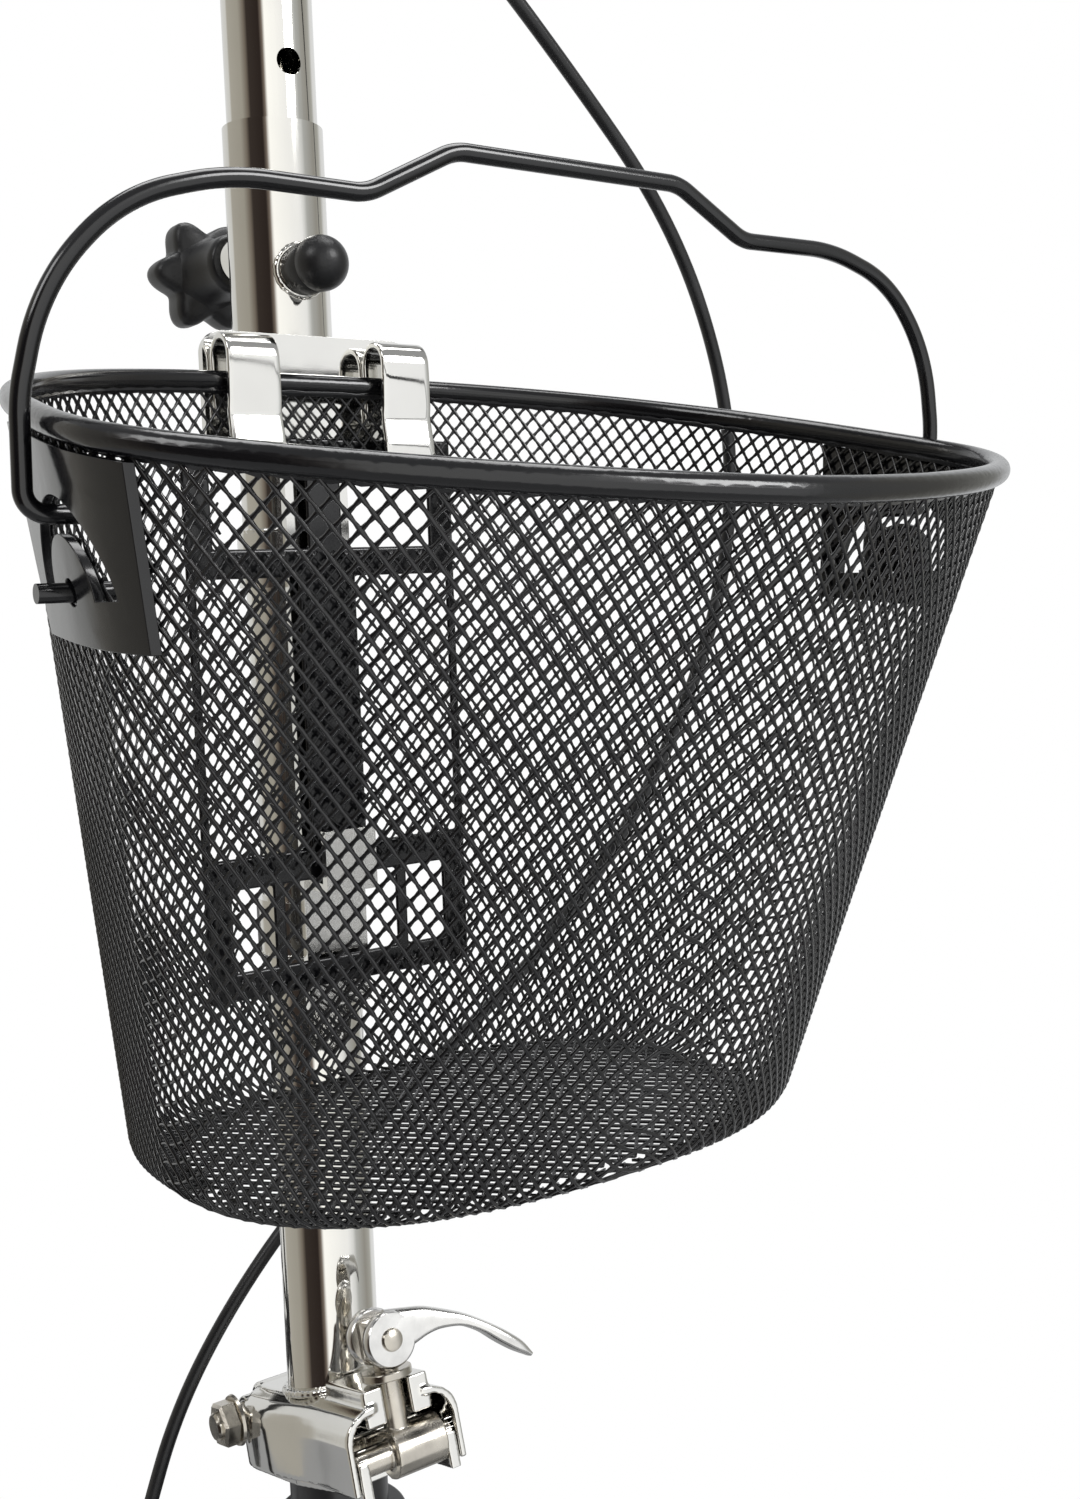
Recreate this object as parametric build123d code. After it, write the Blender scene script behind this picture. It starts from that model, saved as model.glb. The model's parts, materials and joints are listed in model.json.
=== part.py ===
from build123d import *
import os
from math import cos, pi, radians, sin, tan

os.makedirs("parts", exist_ok=True)

# Knee scooter. Millimetres, +X forward, +Y the rider's left, +Z up, floor at z = 0.
# The origin is on the floor under the middle of the scooter.

# Driving dimensions
WHEEL_RADIUS = 100.0
TYRE_WIDTH = 34.0
RIM_RADIUS = 80.0
WHEEL_Y = 180.0
REAR_AXLE_X = -295.0
AXLE_RADIUS = 6.0
STEER_X = 175.0
RAKE = 3.2
FOLD_HEIGHT = 330.0
CLAMP_TILT = 17.0
COLUMN_RADIUS = 15.9
COLUMN_BORE = 14.7
COLUMN_TOP = 439.6
POST_RADIUS = 14.3
POST_BOTTOM = 250.0
POST_TOP = 548.0
BAR_RADIUS = 11.1
BAR_HEIGHT = 560.0
GRIP_END_Y = 212.0
PLUNGER_Z = 393.5
KNOB_Z = 404.0
HOLE_PITCH = 31.75
KINGPIN_X = 38.0
KINGPIN_Y = 138.0
STEER_ARM = 40.0
LINK_Z = -198.0
KNEE_POST_X = -142.0
PAD_LENGTH = 330.0
PAD_WIDTH = 180.0
PAD_TOP = 460.0
PAD_THICKNESS = 55.0
RIM_HALF_WIDTH = 126.7
RIM_BACK = 141.8
RIM_FRONT = 71.3
RIM_BACK_POWER = 2.45
RIM_FRONT_POWER = 1.7
RIM_DROP = 12.0
BASKET_HEIGHT = 217.0
BASKET_X = 25.0
BASKET_Z = 354.2
BAIL_PIVOT = (124.0, -58.0)
BAIL_LEAN = 6.0
CABLE_RADIUS = 2.5
GAP = 0.3

# Frames: steering axis, fold clamp, basket and bail, each turned about Y only.
STEER = Location((STEER_X, 0, FOLD_HEIGHT), (0, -RAKE, 0))
CLAMP = STEER * Location((0, 0, 8), (0, -CLAMP_TILT, 0))
BASKET = STEER * Location((BASKET_X, 0, BASKET_Z))
BAIL = BASKET * Location((BAIL_PIVOT[0], 0, BAIL_PIVOT[1]), (0, BAIL_LEAN, 0))
WORLD = Location((0, 0, 0))
WHEEL_Z = (WHEEL_RADIUS - FOLD_HEIGHT - KINGPIN_X * sin(radians(RAKE))) / cos(radians(RAKE))

NODES = {}


def add(name, frame, *solids):
    NODES[name] = [frame * solid for solid in solids]


def rod(start, end, radius):
    start, end = Vector(start), Vector(end)
    return Solid.make_cylinder(radius, (end - start).length, Plane(origin=start, z_dir=end - start))


def ring(start, end, outer, inner):
    return rod(start, end, outer) - rod(start, end, inner)


def block(x0, x1, y0, y1, z0, z1):
    return Solid.make_box(x1 - x0, y1 - y0, z1 - z0, Plane(origin=(x0, y0, z0)))


def hexagon(start, end, radius):
    start, end = Vector(start), Vector(end)
    face = Plane(origin=start, z_dir=end - start) * RegularPolygon(radius, 6)
    return extrude(face, (end - start).length).solid()


def prism(points, y0, y1):
    """A closed outline of (x, z) points, extruded along Y."""
    face = make_face(Polyline(*[(x, y0, z) for x, z in points], close=True))
    return extrude(face, y1 - y0, dir=(0, 1, 0)).solid()


def plate(points, z0, z1):
    """A closed outline of (x, y) points, extruded along Z."""
    face = make_face(Polyline(*[(x, y, z0) for x, y in points], close=True))
    return extrude(face, z1 - z0, dir=(0, 0, 1)).solid()


def bend_radii(points):
    """The largest arc that each corner of a route can take."""
    points = [Vector(p) for p in points]
    radii = []
    for before, corner, after in zip(points, points[1:], points[2:]):
        turn = radians((corner - before).get_angle(after - corner))
        shorter = min((corner - before).length, (after - corner).length)
        radii.append(0.45 * shorter / tan(turn / 2))
    return radii


def bent_rod(points, radius, radii=None, bore=0.0):
    radii = radii or bend_radii(points)
    path = FilletPolyline(*points, radius=radii)
    section = Plane(origin=path @ 0, z_dir=path % 0)
    body = sweep(section * Circle(radius), path=path).solid()
    if bore:
        body = body - sweep(section * Circle(bore), path=path).solid()
    return body


def mirrored(solid):
    return solid.mirror(Plane.XZ)


def one(shape):
    """The largest solid of a boolean result."""
    return max(shape.solids(), key=lambda solid: solid.volume)


# ---------------------------------------------------------------- wheels
def lathe_y(profile):
    """A closed outline of (radius, y) points, turned about the Y axis."""
    face = make_face(Polyline(*[(r, y, 0) for r, y in profile], close=True))
    return revolve(face, Axis.Y).solid()


def make_wheel(place, frame, x, y, z):
    half = TYRE_WIDTH / 2
    hub = 19.0
    bearing, bearing_width = 14.0, 8.0
    at = frame * Location((x, y, z))
    tyre_section = Location(((WHEEL_RADIUS + RIM_RADIUS) / 2, 0, 0)) * RectangleRounded(
        WHEEL_RADIUS - RIM_RADIUS, TYRE_WIDTH, 7)
    tyre = revolve(tyre_section, Axis.Y).solid()
    rim = lathe_y([(RIM_RADIUS - 7, -10), (RIM_RADIUS - 4, -14), (RIM_RADIUS, -14),
                   (RIM_RADIUS, 14), (RIM_RADIUS - 4, 14), (RIM_RADIUS - 7, 10)])
    body = rim + ring((0, -half, 0), (0, half, 0), hub, AXLE_RADIUS + 2)
    for turn in range(5):
        spoke = prism([(hub - 3, -9), (RIM_RADIUS - 6, -6), (RIM_RADIUS - 6, 6), (hub - 3, 9)], -6, 6)
        body += spoke.rotate(Axis.Y, 72 * turn + 90)
    bearings = []
    for side in (-1, 1):
        inner_y, outer_y = side * (half - bearing_width), side * half
        body -= rod((0, inner_y, 0), (0, outer_y + side, 0), bearing)
        bearings.append(ring((0, inner_y, 0), (0, outer_y, 0), bearing, AXLE_RADIUS + 0.03))
    add("tyre_" + place, at, tyre)
    add("wheel_hub_" + place, at, one(body), *bearings)


def make_wheels():
    for word, side in (("left", 1), ("right", -1)):
        make_wheel("front_" + word, STEER, KINGPIN_X, side * WHEEL_Y, WHEEL_Z)
        make_wheel("rear_" + word, WORLD, REAR_AXLE_X, side * WHEEL_Y, WHEEL_RADIUS)


# ---------------------------------------------------------------- frame
HEAD_TOP, HEAD_BOTTOM, HEAD_RADIUS = -38.0, -165.0, 22.0
STEM_RADIUS = 14.0
BEAM_Z, BEAM_RADIUS = -141.0, 16.0
SLEEVE_RADIUS, SLEEVE_TOP, SLEEVE_BOTTOM = 17.0, -120.0, -185.0
REAR_TUBE_RADIUS, REAR_TUBE_HALF = 16.0, 150.0
SPINE_RADIUS = 25.4
SOCKET_RADIUS, SOCKET_TOP, SOCKET_BOTTOM = 19.5, 305.0, 168.0
KNEE_POST_RADIUS = 15.9


def make_frame():
    bearing_height = 10.0
    head_solid = STEER * rod((0, 0, HEAD_BOTTOM), (0, 0, HEAD_TOP), HEAD_RADIUS)
    head = ring((0, 0, HEAD_BOTTOM), (0, 0, HEAD_TOP), HEAD_RADIUS, HEAD_RADIUS - 3)
    seats = [(HEAD_TOP, -bearing_height), (HEAD_BOTTOM, bearing_height)]
    races = [ring((0, 0, z), (0, 0, z + dz), HEAD_RADIUS - 3, STEM_RADIUS + 0.04) for z, dz in seats]
    add("head_tube", STEER, head)
    add("headset_bearings", STEER, *races)

    beam_x = KINGPIN_X
    sleeve = rod((beam_x, KINGPIN_Y, SLEEVE_BOTTOM), (beam_x, KINGPIN_Y, SLEEVE_TOP), SLEEVE_RADIUS)
    beam = rod((beam_x, -KINGPIN_Y, BEAM_Z), (beam_x, KINGPIN_Y, BEAM_Z), BEAM_RADIUS)
    beam += sleeve + mirrored(sleeve)
    for side in (-1, 1):
        beam -= rod((beam_x, side * KINGPIN_Y, SLEEVE_BOTTOM - 1),
                    (beam_x, side * KINGPIN_Y, SLEEVE_TOP + 1), AXLE_RADIUS)
    saddle = block(16, beam_x, -16, 16, BEAM_Z - 12, BEAM_Z + 12)
    beam += saddle - rod((beam_x, -17, BEAM_Z), (beam_x, 17, BEAM_Z), BEAM_RADIUS - 2)
    beam -= rod((0, 0, HEAD_BOTTOM - 5), (0, 0, HEAD_TOP), HEAD_RADIUS)
    add("front_beam", STEER, one(beam))

    kingpins = []
    for side in (-1, 1):
        x, y = KINGPIN_X, side * KINGPIN_Y
        pin = rod((x, y, -258), (x, y, SLEEVE_TOP), AXLE_RADIUS)
        pin += hexagon((x, y, SLEEVE_TOP), (x, y, SLEEVE_TOP + 7), 10.5)
        pin += hexagon((x, y, -261), (x, y, -254), 10.5)
        kingpins.append(one(pin))
    add("kingpins", STEER, *kingpins)

    route = [(STEER_X - 8, 0, 236), (REAR_AXLE_X + 74, 0, 196), (REAR_AXLE_X, 0, WHEEL_RADIUS)]
    spine = bent_rod(route, SPINE_RADIUS, [70], SPINE_RADIUS - 2.5)
    rear_solid = rod((REAR_AXLE_X, -REAR_TUBE_HALF, WHEEL_RADIUS),
                     (REAR_AXLE_X, REAR_TUBE_HALF, WHEEL_RADIUS), REAR_TUBE_RADIUS)
    socket_solid = rod((KNEE_POST_X, 0, SOCKET_BOTTOM), (KNEE_POST_X, 0, SOCKET_TOP), SOCKET_RADIUS)
    spine = one(spine - head_solid - rear_solid - socket_solid)
    add("spine_tube", WORLD, spine)

    rear = ring((REAR_AXLE_X, -REAR_TUBE_HALF, WHEEL_RADIUS), (REAR_AXLE_X, REAR_TUBE_HALF, WHEEL_RADIUS),
                REAR_TUBE_RADIUS, REAR_TUBE_RADIUS - 2.5)
    add("rear_cross_tube", WORLD, rear)
    bushes = []
    for side in (-1, 1):
        start = (REAR_AXLE_X, side * (REAR_TUBE_HALF - 15), WHEEL_RADIUS)
        end = (REAR_AXLE_X, side * REAR_TUBE_HALF, WHEEL_RADIUS)
        bushes.append(ring(start, end, REAR_TUBE_RADIUS - 2.5, AXLE_RADIUS))
        collar_end = (REAR_AXLE_X, side * (WHEEL_Y - TYRE_WIDTH / 2 - GAP), WHEEL_RADIUS)
        bushes.append(ring(end, collar_end, 10, AXLE_RADIUS))
    reach = WHEEL_Y + TYRE_WIDTH / 2
    axle = rod((REAR_AXLE_X, -reach - 8, WHEEL_RADIUS), (REAR_AXLE_X, reach + 8, WHEEL_RADIUS), AXLE_RADIUS)
    nuts = []
    for side in (-1, 1):
        nut = hexagon((REAR_AXLE_X, side * (reach + GAP), WHEEL_RADIUS),
                      (REAR_AXLE_X, side * (reach + 7), WHEEL_RADIUS), 10.5)
        nuts.append(one(nut - axle))
    add("rear_axle", WORLD, axle, *bushes, *nuts)

    socket = socket_solid - rod((KNEE_POST_X, 0, SOCKET_BOTTOM - 1), (KNEE_POST_X, 0, SOCKET_TOP + 1),
                                KNEE_POST_RADIUS + 0.08)
    socket -= block(KNEE_POST_X - 30, KNEE_POST_X - 10, -1.5, 1.5, SOCKET_TOP - 32, SOCKET_TOP + 1)
    add("knee_post_socket", WORLD, one(socket))


# ---------------------------------------------------------------- steering
def make_steering():
    flange = ring((0, 0, HEAD_TOP + GAP + 0.2), (0, 0, HEAD_TOP + 9), 23.5, STEM_RADIUS)
    add("headset_cover", STEER, flange)
    channel_blank = clamp_outline(-16, 0)
    stem = rod((0, 0, -212), (0, 0, 6), STEM_RADIUS) + rod((0, 0, HEAD_TOP + 9), (0, 0, 6), 17)
    stem += rod((0, 0, LINK_Z + 4), (0, 0, HEAD_BOTTOM - 0.5), 18)
    stem = one(stem - (STEER.inverse() * CLAMP) * channel_blank)
    channel = channel_blank - block(-14, 31, -15, 15, -12, 1)
    bolt_x, bolt_z = FOLD_BOLT
    channel -= rod((bolt_x, -15.4, bolt_z), (bolt_x, 15.4, bolt_z), 10.4)
    channel -= block(-60, bolt_x, -15.4, 15.4, -20, 20)
    for side in (-1, 1):
        channel += rod((bolt_x, side * 15.7, bolt_z), (bolt_x, side * 21.5, bolt_z), 7)
    channel -= rod((bolt_x, -40, bolt_z), (bolt_x, 40, bolt_z), 5)
    pin_x, pin_z = LATCH_PIN
    channel -= block(34, 70, -14.2, 14.2, -20, 5)
    channel -= rod((pin_x, -40, pin_z), (pin_x, 40, pin_z), 4.8)
    channel -= block(pin_x - 4.8, pin_x + 5.4, -40, 40, pin_z, 10)
    add("fold_channel", CLAMP, one(channel))
    bolt = rod((bolt_x, -27, bolt_z), (bolt_x, 22, bolt_z), 5)
    bolt += rod((bolt_x, 21.8, bolt_z), (bolt_x, 27, bolt_z), 8)
    nut = hexagon((bolt_x, -21.8, bolt_z), (bolt_x, -29.5, bolt_z), 8.5)
    nut = one(nut - rod((bolt_x, -28, bolt_z), (bolt_x, -20, bolt_z), 5))
    add("fold_bolt", CLAMP, one(bolt), nut)

    arm = rod((0, 0, LINK_Z - 4), (0, 0, LINK_Z + 4), 20)
    arm += block(-STEER_ARM, 0, -8, 8, LINK_Z - 4, LINK_Z + 4)
    arm += rod((-STEER_ARM, 0, LINK_Z - 4), (-STEER_ARM, 0, LINK_Z + 4), 8)
    arm -= rod((0, 0, LINK_Z - 9), (0, 0, LINK_Z + 9), STEM_RADIUS)
    arm -= rod((-STEER_ARM, 0, LINK_Z - 9), (-STEER_ARM, 0, LINK_Z + 9), 4)
    pin = rod((-STEER_ARM, 0, LINK_Z - 16), (-STEER_ARM, 0, LINK_Z + 16), 4)
    for z in (LINK_Z - 17, LINK_Z + 13):
        pin += rod((-STEER_ARM, 0, z), (-STEER_ARM, 0, z + 4), 7)
    add("pitman_arm", STEER, one(arm), one(pin))
    nut = hexagon((0, 0, LINK_Z - 4), (0, 0, LINK_Z - 12), 18) - rod((0, 0, -213), (0, 0, -190), STEM_RADIUS)
    add("steering_stem", STEER, stem, one(nut))


def make_knuckle(word, side):
    x, y = KINGPIN_X, side * KINGPIN_Y
    top, bottom = SLEEVE_BOTTOM - 0.5, -253.0
    body = rod((x, y, bottom), (x, y, top), 14)
    body += rod((x, y, WHEEL_Z), (x, side * (WHEEL_Y - TYRE_WIDTH / 2 - GAP), WHEEL_Z), 9.5)
    body += rod((x, y, WHEEL_Z), (x, side * (WHEEL_Y + TYRE_WIDTH / 2 + 8), WHEEL_Z), AXLE_RADIUS)
    body += block(x - STEER_ARM, x, y - 8, y + 8, LINK_Z - 4, LINK_Z + 4)
    body += rod((x - STEER_ARM, y, LINK_Z - 4), (x - STEER_ARM, y, LINK_Z + 4), 8)
    body -= rod((x, y, bottom - 1), (x, y, top + 1), AXLE_RADIUS + 0.05)
    body += rod((x - STEER_ARM, y, LINK_Z), (x - STEER_ARM, y, LINK_Z + side * 14), 4)
    body += rod((x - STEER_ARM, y, LINK_Z + side * 13), (x - STEER_ARM, y, LINK_Z + side * 16), 7)
    face = WHEEL_Y + TYRE_WIDTH / 2
    nut = hexagon((x, side * (face + GAP), WHEEL_Z), (x, side * (face + 7), WHEEL_Z), 10.5)
    nut -= rod((x, side * (face - 1), WHEEL_Z), (x, side * (face + 9), WHEEL_Z), AXLE_RADIUS)
    add("knuckle_" + word, STEER, one(body), one(nut))


def make_tie_rod(word, side):
    z = LINK_Z + side * 8.8
    start = Vector(-STEER_ARM, 0, z)
    end = Vector(KINGPIN_X - STEER_ARM, side * KINGPIN_Y, z)
    link = rod(start, end, 4)
    for centre in (start, end):
        link += rod(centre - Vector(0, 0, 4), centre + Vector(0, 0, 4), 9)
    for centre, bore in ((start, 4.06), (end, 4.6)):
        link -= rod(centre - Vector(0, 0, 9), centre + Vector(0, 0, 9), bore)
    add("tie_rod_" + word, STEER, one(link))


# ---------------------------------------------------------------- fold clamp and column
FOLD_BOLT = (-28.5, 2.4)
LATCH_PIN = (46.3, -5.8)
CAM_Z = 29.8
LID_TOP = 16.3


def clamp_outline(z0, z1):
    """The clamp's plan outline: widest beside the hinge bolt, narrower at the latch."""
    return plate([(-28.5, -21.5), (8, -21.5), (30, -18), (52, -18), (52, 18), (30, 18), (8, 21.5),
                  (-28.5, 21.5)], z0, z1)


def make_fold_block():
    bolt_x, bolt_z = FOLD_BOLT
    top = 12.2
    body = plate([(-19.5, -21.5), (8, -21.5), (28, -18.5), (36, -14), (36, 14), (28, 18.5), (8, 21.5),
                  (-19.5, 21.5)], 0.4, top)
    body += plate([(-36, -14), (-34, -21.5), (-19, -21.5), (-19, 21.5), (-34, 21.5), (-36, 14)], 10.2, top)
    body += rod((bolt_x, -15, bolt_z), (bolt_x, 15, bolt_z), 9.8)
    body += block(bolt_x, -15, -15, 15, 0.4, top)
    lid = block(22, 51, -12, 12, 4.6, LID_TOP)
    lid = lid.fillet(4, lid.edges().filter_by(Axis.X).group_by(Axis.Z)[-1])
    lid = lid.fillet(2.5, lid.edges().filter_by(Axis.Z).group_by(Axis.X)[-1])
    body += lid
    body -= block(-12, 30, -16, 16, -1, 9)
    body -= block(40.5, 60, -4.8, 4.8, 0, 20)
    body -= rod((bolt_x, -30, bolt_z), (bolt_x, 30, bolt_z), 5.06)
    return one(body)


def make_column():
    fold_block = make_fold_block()
    add("fold_block", CLAMP, fold_block)
    block_in_steer = (STEER.inverse() * CLAMP) * fold_block
    below = (STEER.inverse() * CLAMP) * block(-60, 60, -60, 60, -60, 9)
    tube = ring((0, 0, -10), (0, 0, COLUMN_TOP), COLUMN_RADIUS, COLUMN_BORE)
    tube -= rod((0, 0, PLUNGER_Z), (30, 0, PLUNGER_Z), 3.4)
    tube -= rod((0, 0, KNOB_Z), (-30, 0, KNOB_Z), 4.3)
    add("column_tube", STEER, one(tube - below - block_in_steer))
    column_solid = rod((0, 0, 300), (0, 0, COLUMN_TOP), COLUMN_RADIUS)
    housing = ring((12, 0, PLUNGER_Z), (24, 0, PLUNGER_Z), 7, 3.1) - column_solid
    cap_radius, cap_start, cap_bore_end, dome_x = 8.3, 17, 24.8, 29.2
    cap = rod((cap_start, 0, PLUNGER_Z), (dome_x, 0, PLUNGER_Z), cap_radius)
    cap -= rod((cap_start - 1, 0, PLUNGER_Z), (cap_bore_end, 0, PLUNGER_Z), 7.4)
    cap += Location((dome_x, 0, PLUNGER_Z)) * Solid.make_sphere(cap_radius, angle1=-90, angle2=90)
    cap -= rod((cap_start - 1, 0, PLUNGER_Z), (cap_bore_end, 0, PLUNGER_Z), 7.4)
    cap += rod((14.65, 0, PLUNGER_Z), (dome_x, 0, PLUNGER_Z), 3)
    add("pull_plunger", STEER, one(cap))
    boss = ring((-12, 0, KNOB_Z), (-27, 0, KNOB_Z), 8, 4.1) - column_solid
    add("column_bosses", STEER, one(housing), one(boss))
    knob = rod((-14.65, 0, KNOB_Z), (-55, 0, KNOB_Z), 4) + rod((-30, 0, KNOB_Z), (-54, 0, KNOB_Z), 10)
    knob += rod((-52, 0, KNOB_Z), (-66, 0, KNOB_Z), 15.5)
    lobes = 6
    for turn in range(lobes):
        angle = 2 * pi * (turn + 0.5) / lobes
        y, z = 14.5 * sin(angle), KNOB_Z + 14.5 * cos(angle)
        knob += rod((-52, y, z), (-66, y, z), 4.5)
    add("star_knob", STEER, one(knob))


def make_latch():
    x, z = LATCH_PIN
    eye = rod((x, -4.4, z), (x, 13.8, z), 8)
    eye += rod((x, 0, z), (x, 0, CAM_Z), 4)
    eye += block(x - 3.7, x + 3.7, -5.5, 5.5, CAM_Z - 6, CAM_Z + 6)
    eye -= rod((x - 9, 0, CAM_Z), (x + 9, 0, CAM_Z), 3)
    eye -= rod((x, -30, z), (x, 30, z), 4.5)
    add("latch_eyebolt", CLAMP, one(eye), rod((x, -17.6, z), (x, 17.6, z), 4.5))
    washer = ring((x, 0, LID_TOP + 0.9), (x, 0, LID_TOP + 3.6), 8.3, 4)
    add("latch_washer", CLAMP, washer)
    pin = rod((x - 9.5, 0, CAM_Z), (x + 9.5, 0, CAM_Z), 3)
    lever = pin
    for start, end in ((x - 8.3, x - 4.1), (x + 4.1, x + 8.3)):
        lever += rod((start, 0, CAM_Z), (end, 0, CAM_Z), 9)
    outline = [(0, 38.5), (10, 38.5), (24, 36), (36, 28.5), (46.5, 15),
               (43, 11), (34, 20), (23, 28), (13, 29.5), (4, 24)]
    blade = make_face(Polyline(*[(x + 4.1, y, z + CAM_Z - 30) for y, z in outline], close=True))
    lever += extrude(blade, 4.2, dir=(1, 0, 0)).solid()
    add("latch_lever", CLAMP, one(lever))


# ---------------------------------------------------------------- handlebar
LEVER_PIVOT = (27.0, -66.0, BAR_HEIGHT + 7)
HALF_BAR = [(0, 0, BAR_HEIGHT), (0, 48, BAR_HEIGHT), (-9, 86, BAR_HEIGHT + 14),
            (-34, GRIP_END_Y - 3, BAR_HEIGHT + 18)]
BAR_BENDS = [45, 45]


def make_handlebar():
    post = ring((0, 0, POST_BOTTOM), (0, 0, POST_TOP), POST_RADIUS, POST_RADIUS - 1.6)
    for step in range(-3, 4):
        z = PLUNGER_Z + step * HOLE_PITCH
        post -= rod((5, 0, z), (20, 0, z), 4.1)
    bar_half = bent_rod(HALF_BAR, BAR_RADIUS, BAR_BENDS, BAR_RADIUS - 1.6)
    bar = bar_half + mirrored(bar_half)
    lug = rod((0, -26, BAR_HEIGHT), (0, 26, BAR_HEIGHT), 16.5) + rod((0, 0, 520), (0, 0, BAR_HEIGHT), 18)
    lug -= rod((0, -27, BAR_HEIGHT), (0, 27, BAR_HEIGHT), BAR_RADIUS)
    lug -= rod((0, 0, 519), (0, 0, POST_TOP), POST_RADIUS)
    lug -= block(10, 30, -30, 30, BAR_HEIGHT - 1.2, BAR_HEIGHT + 1.2)
    screws = []
    for y in (-17, 17):
        lug -= rod((19.5, y, BAR_HEIGHT - 22), (19.5, y, BAR_HEIGHT + 22), 3)
        lug += ring((19.5, y, BAR_HEIGHT - 10), (19.5, y, BAR_HEIGHT - 1.2), 6, 3)
        lug += ring((19.5, y, BAR_HEIGHT + 1.2), (19.5, y, BAR_HEIGHT + 10), 6, 3)
        screw = rod((19.5, y, BAR_HEIGHT - 10), (19.5, y, BAR_HEIGHT + 10), 3)
        screws.append(one(screw + rod((19.5, y, BAR_HEIGHT + 10), (19.5, y, BAR_HEIGHT + 15), 5)))
    lug -= rod((0, -27, BAR_HEIGHT), (0, 27, BAR_HEIGHT), BAR_RADIUS)
    add("handlebar_post", STEER, one(post))
    add("handlebar", STEER, one(bar))
    add("handlebar_lug", STEER, one(lug))
    inner, outer = Vector(HALF_BAR[2]), Vector(HALF_BAR[3])
    along = (outer - inner).normalized()
    start, end = inner + along * 14, outer
    grip = ring(start, end, 16, BAR_RADIUS) + rod(end, end + along * 2.6, 16)
    grip += ring(start, start + along * 4, 19, BAR_RADIUS)
    add("grips", STEER, one(grip), one(mirrored(grip)))
    return screws


def make_brake_lever(screws):
    x, y, z = LEVER_PIVOT
    perch = rod((-3, -62, z), (-7, -78, z + 5), 15)
    perch += block(0, 34, -76, -58, z - 9, z + 9)
    perch -= rod((x, y, z - 20), (x, y, z + 20), 3)
    perch -= block(x - 10, 50, -90, -50, z - 4.5, z + 4.5)
    perch -= mirrored(bent_rod(HALF_BAR, BAR_RADIUS, BAR_BENDS))
    pivot = rod((x, y, z - 10), (x, y, z + 9.5), 2.95) + rod((x, y, z + 9.2), (x, y, z + 12), 5)
    add("bar_screws", STEER, one(pivot), *screws)
    outline = [(x - 5, y + 6), (x + 5, y + 6), (x + 14, y - 8), (x + 22, y - 40), (x + 20, y - 80),
               (x + 12, y - 116), (x + 4, y - 124), (x + 2, y - 118), (x + 10, y - 80),
               (x + 12, y - 42), (x + 4, y - 14), (x - 6, y - 6)]
    lever = plate(outline, z - 4, z + 4)
    lever += rod((x, y, z - 4), (x, y, z + 4), 6.5)
    lever -= rod((x, y, z - 5), (x, y, z + 5), 3.0)
    add("brake_lever", STEER, one(lever))
    adjuster = ring((x + 2, -57.6, z), (x + 2, -44, z), 5, 1.2)
    adjuster += ring((x + 2, -52, z), (x + 2, -47, z), 6.5, 1.2)
    add("brake_perch", STEER, one(perch), one(adjuster - perch))


# ---------------------------------------------------------------- basket
def oval(half_width, back, front, back_power, front_power, drop, height, count=48):
    """Points of the basket's plan outline: two half ovals joined at the widest place."""
    points = []
    for step in range(count):
        angle = 2 * pi * step / count
        along, across = cos(angle), sin(angle)
        power = front_power if along > 0 else back_power
        reach = front if along > 0 else back
        x = back + reach * (1 if along > 0 else -1) * abs(along) ** (2 / power)
        y = half_width * (1 if across > 0 else -1) * abs(across) ** (2 / power)
        points.append((x, y, height - x * tan(radians(drop))))
    return points


def oval_face(*args):
    return make_face(Spline(*oval(*args), periodic=True))


def basket_outline(inset, rise):
    """Rim and floor faces of the basket, moved in by inset and up by rise."""
    rim = oval_face(RIM_HALF_WIDTH - inset, RIM_BACK - inset, RIM_FRONT - inset,
                    RIM_BACK_POWER, RIM_FRONT_POWER, RIM_DROP, rise)
    floor = oval_face(92.5 - inset, 73 - inset, 73 - inset, 3.0, 2.4, -2.8, -BASKET_HEIGHT + rise)
    return [Location((inset, 0, 0)) * floor, Location((inset, 0, 0)) * rim]


def make_basket():
    wall = 1.6
    outer = loft(basket_outline(0, 0), ruled=True).solid()
    inner_floor, inner_rim = basket_outline(wall, wall)
    inner = loft([inner_floor, inner_rim], ruled=True).solid()
    shell = outer - inner
    windows = [(-48, -20), (-181, -148)]
    for low, high in windows:
        shell -= block(-20, 40, -38, 38, low, high)
    for side in (-1, 1):
        shell -= arch_slot(side)
    add("basket_mesh", BASKET, one(shell))

    rim_points = oval(RIM_HALF_WIDTH, RIM_BACK, RIM_FRONT, RIM_BACK_POWER, RIM_FRONT_POWER, RIM_DROP, 3.2)
    rim_path = Spline(*rim_points, periodic=True)
    rim = sweep(Plane(origin=rim_path @ 0, z_dir=rim_path % 0) * Circle(3), path=rim_path).solid()
    add("basket_rim", BASKET, rim)

    bar, half, depth = 9.0, 47.0, (-3.2, -1.2)
    frame = block(*depth, -half, half, -187, -13) - block(-9, 9, -half + 3, half - 3, -142, -56)
    frame += block(*depth, -10, 10, -143, -55)
    frame -= block(-9, 9, -half + bar, -6, -47, -21.5)
    frame -= block(-9, 9, 6, half - bar, -47, -21.5)
    for low, high in ((-half + bar, -24), (-20, 20), (24, half - bar)):
        frame -= block(-9, 9, low, high, -178, -152)
    add("basket_back_frame", BASKET, one(frame))

    hooks = []
    for y in (-26, 26):
        hook = block(6.6, 8.6, y - 8, y + 8, -22.5, 17) + block(-6.1, 8.6, y - 8, y + 8, 15, 17)
        hook += block(-6.1, -4.1, y - 8, y + 8, -8, 17)
        hooks.append(one(hook))
    add("basket_hooks", BASKET, *hooks)


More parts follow.
